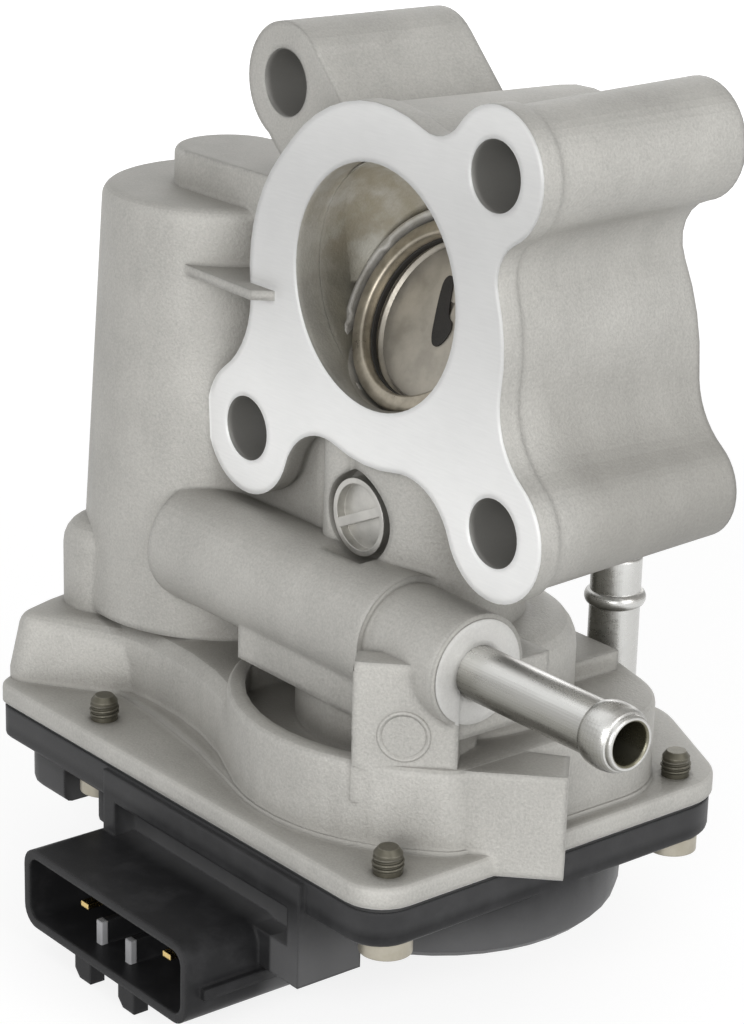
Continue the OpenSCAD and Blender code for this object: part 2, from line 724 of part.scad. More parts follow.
// Plastic carrier of the brushes, inside the open end of the can
module brush_holder() {
    color(black) translate([motor_x, motor_y, 0]) difference() {
        rod([0, 0], can_r - 0.8 - press_gap, cavity_top + 0.05, -60);
        rod([0, 0], 5.2, -72, -59);
        for (side = [-1, 1]) box([-2.6, side > 0 ? 4 : -12, -68], [2.6, side > 0 ? 12 : -4, -59]);
        for (side = [-1, 1]) box([-12.4, side * 3 - 0.5, -72], [-8.6, side * 3 + 0.5, -62]);
    }
}

module motor_brushes() {
    color(dark_steel) translate([motor_x, motor_y, 0]) for (side = [-1, 1])
        box([-2.5, side > 0 ? 4.35 : -11, -67.9], [2.5, side > 0 ? 11 : -4.35, -61]);
}

module motor_terminals() {
    color(brass) translate([motor_x, motor_y, 0]) for (side = [-1, 1])
        box([-12.3, side * 3 - 0.4, -79], [-8.7, side * 3 + 0.4, -63]);
}

module motor_bushes() {
    color(brass) {
        tube(motor_at, 3.6, motor_shaft_r + run_gap, -74.4, -71.2);
        tube(motor_at, 3.6, motor_shaft_r + run_gap, motor_z[1] - 1.8, motor_z[1]);
    }
}

module motor_screws() {
    color(steel) for (side = [-1, 1]) {
        rod(motor_at + [0, side * ear_r], 1.2, -73, -64.2);
        difference() {
            rod(motor_at + [0, side * ear_r], 2.2, -74.6, -73);
            translate([motor_x, motor_y + side * ear_r, -75]) cylinder(r = 1.1, h = 1.4, $fn = 6);
        }
    }
}

module wave_washer() {
    color(steel) tube(motor_at, 8.6, 6, motor_z[1] + 0.02, motor_z[1] + 0.42);
}

// ---- cover and connector

// Rounded rectangle standing in the XZ plane
module socket_shape(inset, round) {
    w = socket_w - 2 * inset;
    h = socket_h - 2 * inset;
    c = [for (s = [[-1, -1], [1, -1], [1, 1], [-1, 1]])
        [socket_at[0] + s[0] * (w / 2 - round), socket_at[1] + s[1] * (h / 2 - round), round]];
    polygon(outline(c, straight(c)));
}

bulge_ring = [[0, shaft_y, 27.9], [idler_at[0], idler_at[1], 10.2]];
hump_ring = [[-53, -15.4, 4.6], [-37, -16.4, 3.6], [-37, 8, 3.6], [-53, 8, 4.6]];

module cover_body() {
    rounded_block(plate_ring, straight(plate_ring), cover_floor, cover_top, 0.8, 0.4, -1);
    rounded_block(bulge_ring, straight(bulge_ring), bulge_bottom, cover_top - 1, 3, 0, -1);
    difference() {
        rounded_block(hump_ring, straight(hump_ring), -87.5, cover_floor + 1, 1.4, 0, -1);
        rod(cover_screw_at[0], 4.6, -90, cover_floor);
        box([cover_screw_at[0][0] - 4.6, -24, -90],
            [cover_screw_at[0][0] + 4.6, cover_screw_at[0][1], cover_floor]);
    }
}

module connector_block() {
    difference() {
        box([-34, -21, -92.9], [13.3, -5, cover_top - 0.4]);
        box([-31, -24, -87.4], [10.7, -17.5, -81.6]);
        box([-40, -10, -95], [20, -4, bulge_bottom]);
    }
    on_y(mouth_y, -12) socket_shape(0, 3);
    for (x = [-22, -11]) on_y(mouth_y + 0.6, mouth_y + 3)
        polygon([[x - 2, -98], [x - 2, -101.8], [x - 0.8, -103], [x + 2, -103], [x + 2, -98]]);
    box([socket_at[0] + socket_w / 2 - 1, -31, -95], [socket_at[0] + socket_w / 2 + 1.2, -14, -93.4]);
    box([socket_at[0] + socket_w / 2 - 1, -17, -95], [socket_at[0] + socket_w / 2 + 1.2, -14, -88]);
}

module gear_cover() {
    color(black) difference() {
        union() {
            cover_body();
            connector_block();
        }
        on_z(cover_floor + 1.4, cover_top + 1) polygon(outline(case_ring, case_fillets, 3.2));
        on_z(bulge_floor, cover_top) polygon(outline(bulge_ring, straight(bulge_ring),
            cover_wall));
        on_y(mouth_y - 1, mouth_y + socket_depth) socket_shape(socket_wall, 2);
        for (at = cover_screw_at) rod(at, 2.1, cover_floor - 1, cover_top + 1);
        plug_bars(press_gap);
    }
    color(black) for (x = [-21.7, -14.4])
        on_y(mouth_y + 3.4, mouth_y + socket_depth + 0.5)
            polygon([[x - 0.6, -98.4], [x + 0.6, -98.4], [x + 0.6, -94.3], [x - 0.6, -94.3]]);
}

// Blades of the plug, thicker all round by grow: x, z and depth behind the mouth of each
module plug_bars(grow = 0) {
    for (p = [[-25.7, -93.4, 3.4], [-5.1, -92.8, 3.4], [-18.1, -91, 7], [-11.4, -91, 7]])
        box([p[0] - 0.9 - grow, mouth_y + p[2], p[1] - 0.4 - grow],
            [p[0] + 0.9 + grow, -13 + grow, p[1] + 0.4 + grow]);
}

module connector_pins() {
    color(brass) plug_bars();
}

module cover_gasket() {
    color(black) difference() {
        on_z(cover_top, plate_bottom) polygon(outline(plate_ring, straight(plate_ring), 0.7));
        on_z(cover_top - 1, plate_bottom + 1) polygon(outline(case_ring, case_fillets, 3));
        for (at = cover_screw_at) rod(at, 2.1, cover_top - 1, plate_bottom + 1);
    }
}

module cover_screws() {
    tip = plate_top + 3.8;
    head = 2.4;
    color(steel) for (at = cover_screw_at) difference() {
        union() {
            rod(at, 2, cover_floor - 0.1, tip - 0.8);
            translate([at[0], at[1], tip - 0.8]) cylinder(r1 = 2, r2 = 1.4, h = 0.8);
            rod(at, 3.7, cover_floor - head, cover_floor);
        }
        translate([at[0], at[1], cover_floor - head - 1]) cylinder(r = 2, h = 2.4, $fn = 6);
    }
}

// ---- coolant pipes and plug

// Pipe along +Z from its root, with a swaged bead: [distance from the nose, half its height]
module beaded_pipe(length, bead) {
    inner = pipe_r - pipe_wall;
    lip = pipe_wall / 2;
    rotate_extrude($fn = 96) polygon([[inner, 0], [pipe_r, 0],
        for (a = [0 : 15 : 180]) [pipe_r + (bead_r - pipe_r) * sin(a),
            length - bead[0] - bead[1] * cos(a)],
        for (a = [0 : 22.5 : 180]) [pipe_r - lip * (1 - cos(a)), length - lip * (1 - sin(a))],
        ]);
}

module coolant_pipe_front() {
    color(zinc) translate([gallery_end_x - pipe_socket, 0, gallery_z]) rotate([0, 90, 0])
        beaded_pipe(pipe_tip_x - gallery_end_x + pipe_socket, front_bead);
}

module coolant_pipe_rear() {
    color(zinc) translate([rear_pipe_at[0], rear_pipe_at[1], rear_boss_top - rear_socket])
        beaded_pipe(rear_pipe_top - rear_boss_top + rear_socket, rear_bead);
}

module gallery_plug() {
    color(steel) difference() {
        rod_y(plug_at, plug_r, plug_y, plug_y + 5.5);
        difference() {
            rod_y(plug_at, plug_r - 0.8, plug_y - 1, plug_y + 1.4);
            translate([plug_at[0], 0, plug_at[1]]) rotate([0, -25, 0])
                box([-6, plug_y - 2, -0.7], [6, plug_y + 3, 0.7]);
        }
    }
}

valve_housing();
seat_nozzle();
valve_disc();
piston_ring();
valve_shaft();
shaft_bush();
shaft_seal();
bearing_outer_race();
bearing_balls();
bearing_inner_race();
bearing_circlip();
return_spring();
spring_guide();
sector_gear();
sensor_magnet();
hall_sensor();
intermediate_gear();
intermediate_pin();
motor_pinion();
motor_shaft();
motor_armature();
motor_can();
motor_magnets();
motor_end_plate();
brush_holder();
motor_brushes();
motor_terminals();
motor_bushes();
motor_screws();
wave_washer();
gear_cover();
connector_pins();
cover_gasket();
cover_screws();
coolant_pipe_front();
coolant_pipe_rear();
gallery_plug();
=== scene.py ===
"""Studio scene of an exhaust gas recirculation valve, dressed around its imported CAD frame."""
import sys
import logging
import math
from dataclasses import dataclass, field
from enum import Enum
from functools import reduce
from typing import Any, Callable, Iterable, Sequence, Union

import bpy
from mathutils import Matrix, Vector


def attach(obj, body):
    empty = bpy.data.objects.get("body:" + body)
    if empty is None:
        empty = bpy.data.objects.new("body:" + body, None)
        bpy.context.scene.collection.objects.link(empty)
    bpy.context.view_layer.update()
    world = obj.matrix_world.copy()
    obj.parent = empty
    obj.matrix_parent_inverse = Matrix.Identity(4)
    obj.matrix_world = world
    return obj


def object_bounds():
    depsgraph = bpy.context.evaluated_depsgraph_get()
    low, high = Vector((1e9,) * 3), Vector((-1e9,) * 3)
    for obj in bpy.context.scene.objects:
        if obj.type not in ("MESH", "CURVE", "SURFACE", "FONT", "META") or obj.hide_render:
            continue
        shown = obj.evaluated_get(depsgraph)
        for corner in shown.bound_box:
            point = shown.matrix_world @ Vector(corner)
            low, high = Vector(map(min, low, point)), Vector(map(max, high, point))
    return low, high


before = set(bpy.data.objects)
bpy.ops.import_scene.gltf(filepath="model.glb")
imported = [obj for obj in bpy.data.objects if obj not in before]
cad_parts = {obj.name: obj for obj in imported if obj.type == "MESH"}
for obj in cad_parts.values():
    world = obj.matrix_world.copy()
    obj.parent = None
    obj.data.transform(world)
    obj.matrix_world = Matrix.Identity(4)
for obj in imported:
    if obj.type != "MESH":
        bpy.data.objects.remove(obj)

LOG = logging.getLogger("valve")
MM = 0.001
CAD_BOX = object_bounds()
PATTERN_MIDDLE = 0.5
WHITE = (1.0, 1.0, 1.0)

Colour = tuple[float, float, float]
Point = tuple[float, float, float]
Value = Union["Wire", bpy.types.NodeSocket, float, str, Sequence[float]]


def mm(*lengths: float) -> tuple[float, ...]:
    """Lengths in millimetres, given in metres."""
    return tuple(length * MM for length in lengths)


def shade(colour: Colour, factor: float, lift: float = 0.0) -> Colour:
    """A colour made lighter or darker by a factor, and then lifted by an amount."""
    return tuple(min(1.0, part * factor + lift) for part in colour)


# ---- shader sheet


class Kind(Enum):
    """What a shader value carries."""

    NUMBER = "number"
    VECTOR = "vector"
    COLOUR = "colour"


class Wire:
    """A shader value that takes part in ordinary arithmetic."""

    def __init__(self, sheet: "Sheet", socket: Any, kind: Kind = Kind.NUMBER) -> None:
        """Wraps an output socket.

        Args:
            sheet: The sheet that the socket's node lies on.
            socket: The output socket.
            kind: What the socket carries.
        """
        self.sheet = sheet
        self.socket = socket
        self.kind = kind

    def _join(self, operation: str, first: Value, second: Value) -> "Wire":
        """Adds the node for one operation.

        Args:
            operation: Name of the Math or Vector Math operation.
            first: Left value.
            second: Right value.

        Returns:
            The result.
        """
        if self.kind is Kind.NUMBER:
            made = self.sheet.node(
                "ShaderNodeMath", {"operation": operation}, {0: first, 1: second})
            return Wire(self.sheet, made.outputs[0])
        made = self.sheet.node(
            "ShaderNodeVectorMath", {"operation": operation},
            {0: spread(first), 1: spread(second)})
        return Wire(self.sheet, made.outputs[0], Kind.VECTOR)

    def __add__(self, other: Value) -> "Wire":
        """Sum."""
        return self._join("ADD", self, other)

    __radd__ = __add__

    def __sub__(self, other: Value) -> "Wire":
        """Difference."""
        return self._join("SUBTRACT", self, other)

    def __rsub__(self, other: Value) -> "Wire":
        """Difference with the other value first."""
        return self._join("SUBTRACT", other, self)

    def __mul__(self, other: Value) -> "Wire":
        """Product."""
        return self._join("MULTIPLY", self, other)

    __rmul__ = __mul__

    def step(self, low: float, high: float) -> "Wire":
        """Rises smoothly from 0 at low to 1 at high, or falls where low is the greater."""
        made = self.sheet.node(
            "ShaderNodeMapRange", {"interpolation_type": "SMOOTHSTEP"},
            {"Value": self, "From Min": min(low, high), "From Max": max(low, high),
             "To Min": 0.0 if low < high else 1.0, "To Max": 1.0 if low < high else 0.0})
        return Wire(self.sheet, made.outputs[0])

    def below(self, limit: float, fade: float) -> "Wire":
        """Mask that is full up to a limit, and fades out over a distance past it."""
        return self.step(limit + fade, limit)

    def near(self, level: float, within: float = 0.03 * MM,
             fully: float = 0.01 * MM) -> "Wire":
        """Mask of the places where a coordinate is close to a level.

        Args:
            level: The level in metres.
            within: Distance from it at which the mask ends.
            fully: Distance from it at which the mask is full.

        Returns:
            The mask.
        """
        return self.step(level - within, level - fully).both(
            self.step(level + within, level + fully))

    def swing(self, amount: float) -> "Wire":
        """How far a pattern lies from its middle, times an amount."""
        return (self - PATTERN_MIDDLE) * amount

    def either(self, other: "Wire") -> "Wire":
        """The greater of two masks."""
        return self._join("MAXIMUM", self, other)

    def both(self, other: "Wire") -> "Wire":
        """The lesser of two masks."""
        return self._join("MINIMUM", self, other)


def spread(value: Value) -> Value:
    """A number as three equal parts, and anything else as it is."""
    return (value,) * 3 if isinstance(value, (int, float)) else value


class Board:
    """A node tree, and the one way in which nodes are added to it."""

    def __init__(self, tree: bpy.types.NodeTree) -> None:
        """Takes a node tree.

        Args:
            tree: The tree.
        """
        self.tree = tree

    def node(self, kind: str, settings: dict[str, Any], inputs: dict[Any, Value]) -> Any:
        """Adds any node.

        Args:
            kind: The node's type.
            settings: Its settings, set before its sockets are filled.
            inputs: Values, wires or output sockets, by socket name or number.

        Returns:
            The node.
        """
        made = self.tree.nodes.new(kind)
        for name, value in settings.items():
            if name == "stops":
                self._fill_ramp(made.color_ramp, value)
            else:
                setattr(made, name, value)
        for name, value in inputs.items():
            socket = made.inputs[name]
            if isinstance(value, Wire):
                value = value.socket
            if isinstance(value, bpy.types.NodeSocket):
                self.tree.links.new(value, socket)
            elif socket.type == "RGBA" and len(value) == 3:
                socket.default_value = (*value, 1.0)
            else:
                socket.default_value = value
        return made

    @staticmethod
    def _fill_ramp(ramp: Any, stops: Sequence[tuple[float, Colour]]) -> None:
        """Sets the stops of a colour ramp.

        Args:
            ramp: The ramp.
            stops: Position and colour of each stop.
        """
        while len(ramp.elements) < len(stops):
            ramp.elements.new(1.0)
        for element, (position, colour) in zip(ramp.elements, stops):
            element.position = position
            element.color = (*colour, 1.0)


class Holder(Enum):
    """What a sheet belongs to: where that is kept, and the node that ends the sheet."""

    MATERIAL = ("materials", "ShaderNodeOutputMaterial")
    WORLD = ("worlds", "ShaderNodeOutputWorld")


class Sheet(Board):
    """Shader nodes of one material, or of the world."""

    def __init__(self, name: str, holder: Holder = Holder.MATERIAL) -> None:
        """Makes an empty material or world.

        Args:
            name: Its name.
            holder: Which of the two it is.
        """
        kept_in, self._end = holder.value
        self.owner = getattr(bpy.data, kept_in).new(name)
        self.owner.use_nodes = True
        super().__init__(self.owner.node_tree)
        self.tree.nodes.clear()
        self._place: Union[Wire, None] = None

    def place(self) -> Wire:
        """Position on the object.

        Returns:
            The position in metres, from a node that the sheet has once.
        """
        if self._place is None:
            made = self.node("ShaderNodeTexCoord", {}, {})
            self._place = Wire(self, made.outputs["Object"], Kind.VECTOR)
        return self._place

    def axes(self) -> tuple[Wire, Wire, Wire]:
        """The three parts of the position on the object."""
        made = self.node("ShaderNodeSeparateXYZ", {}, {0: self.place()})
        return tuple(Wire(self, made.outputs[k]) for k in range(3))

    def noise(self, size: float, detail: float = 2.0, rough: float = 0.5,
              stretch: Point = (1.0, 1.0, 1.0)) -> Wire:
        """Cloudy pattern between about 0.3 and 0.7.

        Args:
            size: Size of one cloud in metres.
            detail: How many finer layers lie on it.
            rough: How strong the finer layers are.
            stretch: Factor on the frequency along each axis.

        Returns:
            The pattern.
        """
        made = self.node(
            "ShaderNodeTexNoise", {"noise_dimensions": "3D"},
            {"Vector": self.place() * stretch, "Scale": 1.0 / size, "Detail": detail,
             "Roughness": rough})
        return Wire(self, made.outputs["Fac"])

    def cells(self, size: float) -> Wire:
        """Distance to the nearest of scattered points, in units of their spacing."""
        made = self.node("ShaderNodeTexVoronoi", {"feature": "F1"},
                         {"Vector": self.place(), "Scale": 1.0 / size})
        return Wire(self, made.outputs["Distance"])

    def radius(self, along: int, centre: tuple[float, float]) -> Wire:
        """Distance from an axis.

        Args:
            along: Number of the coordinate that the axis runs along.
            centre: Place of the axis in the other two coordinates.

        Returns:
            The distance in metres.
        """
        keep = [0.0 if k == along else 1.0 for k in range(3)]
        at = list(centre)
        at.insert(along, 0.0)
        flat = self.place() * tuple(keep) - tuple(at)
        made = self.node("ShaderNodeVectorMath", {"operation": "LENGTH"}, {0: flat})
        return Wire(self, made.outputs["Value"])

    def facing(self, direction: Point) -> Wire:
        """How squarely the true surface faces a direction.

        Args:
            direction: The direction, of length 1.

        Returns:
            A number from -1 to 1.
        """
        normal = self.node("ShaderNodeNewGeometry", {}, {}).outputs["True Normal"]
        made = self.node("ShaderNodeVectorMath", {"operation": "DOT_PRODUCT"},
                         {0: Wire(self, normal, Kind.VECTOR), 1: direction})
        return Wire(self, made.outputs["Value"])

    def edges(self, radius: float) -> tuple[Wire, Wire]:
        """Softened surface normal, and a mask along the sharp edges.

        Args:
            radius: Radius of the softened edge in metres.

        Returns:
            The normal, and the mask.
        """
        bevel = self.node("ShaderNodeBevel", {"samples": 4}, {"Radius": radius})
        soft = Wire(self, bevel.outputs["Normal"], Kind.VECTOR)
        normal = self.node("ShaderNodeNewGeometry", {}, {}).outputs["Normal"]
        made = self.node("ShaderNodeVectorMath", {"operation": "DOT_PRODUCT"},
                         {0: soft, 1: Wire(self, normal, Kind.VECTOR)})
        return soft, Wire(self, made.outputs["Value"]).step(0.995, 0.86)

    def hollows(self, reach: float) -> Wire:
        """Mask of corners and hollows, where painted shade goes.

        Args:
            reach: Distance in metres over which a neighbouring wall counts.

        Returns:
            The mask.
        """
        made = self.node("ShaderNodeAmbientOcclusion", {"samples": 6}, {"Distance": reach})
        return Wire(self, made.outputs["AO"]).step(0.95, 0.25)

    def mix(self, mask: Value, first: Value, second: Value) -> Wire:
        """Colour that goes from the first to the second as the mask rises."""
        made = self.node("ShaderNodeMix", {"data_type": "RGBA"},
                         {"Factor": mask, 6: first, 7: second})
        return Wire(self, made.outputs[2], Kind.COLOUR)

    def blend(self, mask: Value, first: Value, second: Value) -> Wire:
        """Number that goes from the first to the second as the mask rises."""
        made = self.node("ShaderNodeMix", {"data_type": "FLOAT"},
                         {"Factor": mask, 2: first, 3: second})
        return Wire(self, made.outputs[0])

    def bump(self, height: Wire, depth: float, normal: Union[Wire, None] = None) -> Wire:
        """Surface normal disturbed by a height pattern.

        Args:
            height: The pattern.
            depth: Height in metres of one unit of it.
            normal: Normal that is disturbed, if not the surface's own.

        Returns:
            The normal.
        """
        inputs: dict[str, Value] = {"Height": height, "Distance": depth, "Strength": 1.0}
        if normal is not None:
            inputs["Normal"] = normal
        made = self.node("ShaderNodeBump", {}, inputs)
        return Wire(self, made.outputs["Normal"], Kind.VECTOR)

    def shader(self, kind: str, inputs: dict[Any, Value]) -> bpy.types.NodeSocket:
        """Adds a shader node, and gives its output."""
        return self.node(kind, {}, inputs).outputs[0]

    def closed(self, shader: bpy.types.NodeSocket) -> Any:
        """Ends the sheet with a shader, and gives its material or world."""
        self.node(self._end, {}, {"Surface": shader})
        return self.owner

    def surface(self, **inputs: Value) -> bpy.types.Material:
        """Ends the sheet with the usual surface shader.

        Args:
            **inputs: Its sockets, with underscores for spaces.

        Returns:
            The finished material.
        """
        return self.closed(self.shader("ShaderNodeBsdfPrincipled", {
            name.replace("_", " "): value for name, value in inputs.items()}))


# ---- finishes


class Finish:
    """A finish that can dress any number of objects."""

    name: str

    def make(self) -> bpy.types.Material:
        """Builds the material."""
        raise NotImplementedError

    def dress(self, *pieces: Union[bpy.types.Object, str]) -> None:
        """Gives the finish to pieces, or to CAD nodes by name.

        Args:
            *pieces: Objects, or names of CAD nodes.
        """
        material = bpy.data.materials.get(self.name) or self.make()
        for piece in pieces:
            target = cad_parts[piece] if isinstance(piece, str) else piece
            if not target.material_slots:
                target.data.materials.append(material)
            for slot in target.material_slots:
                slot.material = material


@dataclass(frozen=True)
class Metal(Finish):
    """Metal with a fine grain, faint stains and brighter worn edges."""

    name: str
    colour: Colour
    roughness: float = 0.35
    metallic: float = 0.9
    grain: float = 0.25 * MM
    depth: float = 0.004 * MM
    brushed: Point = (1.0, 1.0, 1.0)
    stain: float = 0.12
    stain_size: float = 4 * MM
    stain_dark: float = 2.2
    edge: float = 0.2 * MM
    edge_wear: float = 0.6
    worn_bright: tuple[float, float] = (1.12, 0.02)

    def make(self) -> bpy.types.Material:
        """Builds the material.

        Returns:
            The material.
        """
        sheet = Sheet(self.name)
        soft, worn = sheet.edges(self.edge)
        grain = sheet.noise(self.grain, 3.0, 0.6, self.brushed)
        clouds = sheet.noise(self.stain_size, 4.0, 0.6)
        colour = sheet.mix(clouds.step(0.3, 0.7),
                           shade(self.colour, 1 - self.stain_dark * self.stain),
                           shade(self.colour, 1 + self.stain))
        return sheet.surface(
            Base_Color=sheet.mix(worn * self.edge_wear, colour,
                                 shade(self.colour, *self.worn_bright)),
            Roughness=grain.swing(0.35) + clouds.swing(0.3) + self.roughness,
            Metallic=self.metallic,
            Normal=sheet.bump(grain, self.depth, soft))


@dataclass(frozen=True)
class Moulding(Finish):
    """Moulded plastic or rubber with a spark-eroded grain and paler scuffed edges."""

    name: str
    colour: Colour
    roughness: float = 0.45
    grain: float = 0.22 * MM
    depth: float = 0.01 * MM
    scuff: float = 0.5
    edge: float = 0.35 * MM
    dust_size: float = 6 * MM
    dust_share: float = 0.6
    dusty: tuple[float, float] = (1.35, 0.004)
    scuff_lift: float = 0.05

    def make(self) -> bpy.types.Material:
        """Builds the material.

        Returns:
            The material.
        """
        sheet = Sheet(self.name)
        soft, worn = sheet.edges(self.edge)
        grain = sheet.noise(self.grain, 2.0, 0.55)
        dust = sheet.noise(self.dust_size, 5.0, 0.65)
        colour = sheet.mix(dust.step(0.42, 0.72) * self.dust_share, self.colour,
                           shade(self.colour, *self.dusty))
        return sheet.surface(
            Base_Color=sheet.mix(worn * self.scuff, colour,
                                 shade(self.colour, 1.0, self.scuff_lift * self.scuff)),
            Roughness=grain.swing(0.25) + dust.swing(0.3) + self.roughness,
            Normal=sheet.bump(grain, self.depth, soft))


@dataclass(frozen=True)
class HousingCasting(Finish):
    """Die-cast aluminium of the housing, with its machined faces, bores and heat tint. It
    carries painted shade in hollows, on upward faces, low on the duct's right side and low in
    the gas way, a painted highlight along the base plate's edge, and a painted sheen on the
    machined faces.

    The fields that end in _share say how strongly a finish covers the one below it, and
    those that end in _fade how far its edge reaches. Pairs of roughness and metallic hold
    the cast skin first and the machined faces second.
    """

    name: str = "die_cast_aluminium"
    cast: Colour = (0.50, 0.49, 0.46)
    machined: Colour = (0.80, 0.80, 0.79)
    drilled: Colour = (0.27, 0.265, 0.25)
    # Dark colour of painted shade in hollows, on upward faces and low on the duct's right side;
    # on upward faces it is also dust.
    grime_and_shade: Colour = (0.16, 0.15, 0.13)
    # Dark colours low in the gas way: soot, and painted shade.
    low_soot_and_shade: tuple[Colour, Colour] = ((0.085, 0.08, 0.062), (0.17, 0.16, 0.125))
    tinted: tuple[Colour, Colour] = ((0.52, 0.47, 0.36), (0.74, 0.725, 0.67))
    duct_end: float = 37.5 * MM
    duct_bore: float = 17.05 * MM
    duct_fade: float = 0.15 * MM
    bolts: tuple[tuple[float, float], ...] = (
        (23.8, 19.8), (26.0, -27.3), (-27.9, -26.9), (-27.5, 22.7))
    bolt_bore: float = 4.78 * MM
    cut_fade: float = 0.1 * MM
    gallery_height: float = -47.4
    gallery_end: float = 24.1 * MM
    gallery_ring: float = 7.6 * MM
    end_fade: float = 0.05 * MM
    # Base plate's top, below which the edges carry a painted highlight, and how far that fades.
    plate_top: float = -72.2 * MM
    plate_highlight_fade: float = 0.6 * MM
    base: float = -75.97 * MM
    base_fade: float = 0.02 * MM
    roughness: tuple[float, float] = (0.58, 0.45)
    metallic: tuple[float, float] = (0.3, 0.5)
    cast_range: tuple[float, float] = (0.72, 1.14)
    # Brightening of worn edges, and of the painted highlight along the base plate's edge.
    cast_worn_and_highlight: float = 1.3
    machined_range: tuple[float, float] = (0.74, 1.16)
    grain: float = 0.36 * MM
    depth: float = 0.075 * MM
    softness: float = 1.5 * MM
    pit_size: float = 0.9 * MM
    cloud_size: float = 14 * MM
    flow_size: float = 9 * MM
    soot_size: float = 7 * MM
    # Heights over which the gas way turns from soot and painted shade below to heat tint above.
    soot_and_shade_to_tint: tuple[float, float] = (-8 * MM, 15 * MM)
    gas_depths: tuple[float, float] = (0.5 * MM, 7 * MM)
    lay_size: float = 0.5 * MM
    lay_stretch: Point = (0.12, 1.0, 1.6)
    # Region low on the duct's right side that is darkened as painted shade, and further down
    # how strongly.
    shaded_side_limits: tuple[tuple[int, float, float], ...] = (
        (0, 12.0, 24.0), (2, 2.0, -22.0), (1, 4.0, 14.0), (2, -46.0, -38.0))
    # Painted shade in hollows: how far a neighbouring wall reaches, and how strongly it
    # darkens.
    hollow_shade_reach: float = 11 * MM
    hollow_shade_share: float = 0.62
    # Upward faces are darkened: painted shade for their lower light, with some dust.
    dust_share: float = 0.24
    shaded_side_share: float = 0.38
    drill_share: float = 0.85
    ring_share: float = 0.4

    def _machined_mask(self, sheet: Sheet) -> Wire:
        """Mask of the faces that a cutter has passed over.

        Args:
            sheet: The sheet that it is drawn on.

        Returns:
            The mask.
        """
        x, y, z = sheet.axes()
        front, rear = (y.near(at).both(sheet.facing((0.0, way, 0.0)).step(0.9, 0.99))
                       for at, way in ((0.0, -1.0), (self.duct_end, 1.0)))
        ring = sheet.radius(0, mm(0.0, self.gallery_height)).below(
            self.gallery_ring, self.cut_fade)
        end = x.step(self.gallery_end, self.gallery_end + self.end_fade).both(ring)
        under = z.below(self.base, self.base_fade)
        return front.either(rear).either(end * self.ring_share).either(under)

    def _bolt_mask(self, sheet: Sheet) -> Wire:
        """Mask of the walls of the drilled flange holes.

        Args:
            sheet: The sheet that it is drawn on.

        Returns:
            The mask.
        """
        return reduce(Wire.either, (
            sheet.radius(1, mm(*at)).below(self.bolt_bore, self.cut_fade)
            for at in self.bolts))

    def _burnt(self, sheet: Sheet, height: Wire) -> Wire:
        """Colour of the gas way: sooty and darker below, partly painted shade, straw and grey
        above.

        Args:
            sheet: The sheet that it is drawn on.
            height: Height in the part.

        Returns:
            The colour.
        """
        soot = sheet.noise(self.soot_size, 5.0, 0.65).step(0.35, 0.68)
        # Darker low in the gas way: soot, and painted shade.
        return sheet.mix(height.step(*self.soot_and_shade_to_tint), sheet.mix(soot, *self.low_soot_and_shade),
                         sheet.mix(soot, *self.tinted))

    def _as_cast(self, sheet: Sheet, worn: Wire, grain: Wire, clouds: Wire) -> Wire:
        """Colour of the cast skin: speckled, with brighter edges and a painted highlight along
        the base plate's edge, and painted shade in hollows, on upward faces (with some dust
        there) and low on the duct's right side.

        Args:
            sheet: The sheet that it is drawn on.
            worn: Mask along the edges.
            grain: Fine pattern of the skin.
            clouds: Broad pattern of the skin.

        Returns:
            The colour.
        """
        axes = sheet.axes()
        flow = sheet.noise(self.flow_size, 3.0, 0.55, (1.0, 1.0, 0.35))
        speckle = grain.swing(1.5) + clouds.swing(0.8) + flow.swing(0.6) + 0.58
        colour = sheet.mix(speckle, *(shade(self.cast, part) for part in self.cast_range))
        # Edges are brightened a little everywhere; along the base plate's edge more strongly,
        # partly its machined edge and partly a painted highlight.
        edge_highlight = axes[2].below(self.plate_top, self.plate_highlight_fade) * 0.6 + 0.04
        colour = sheet.mix(worn * edge_highlight, colour, shade(self.cast, self.cast_worn_and_highlight))
        # Painted shade with some dust: upward faces are darkened.
        dust = sheet.facing((0.0, 0.0, 1.0)).step(0.55, 0.95)
        # Painted shade: darker low on the duct's right side, within the listed limits.
        side = reduce(Wire.both, (axes[k].step(*mm(*ends))
                                  for k, *ends in self.shaded_side_limits))
        # Painted shade in hollows, mixed in with the two masks above.
        for mask, share in ((sheet.hollows(self.hollow_shade_reach), self.hollow_shade_share),
                            (dust, self.dust_share), (side, self.shaded_side_share)):
            colour = sheet.mix(mask * share, colour, self.grime_and_shade)
        return colour

    def _cut_bright(self, sheet: Sheet, lay: Wire, clouds: Wire) -> Wire:
        """Colour of the machined faces, with the lay of the cutter and a painted sheen,
        brighter towards the bottom and somewhat towards the top.

        Args:
            sheet: The sheet that it is drawn on.
            lay: Pattern that the cutter leaves.
            clouds: Broad pattern of the metal.

        Returns:
            The colour.
        """
        z = sheet.axes()[2]
        # Painted sheen: the machined faces are brighter towards the bottom and somewhat towards
        # the top.
        sweep = z.step(8 * MM, -30 * MM).either(z.step(12 * MM, 32 * MM) * 0.45)
        return sheet.mix(sweep * 0.8 + lay.swing(0.25) + clouds.swing(0.3) + 0.1,
                         *(shade(self.machined, part) for part in self.machined_range))

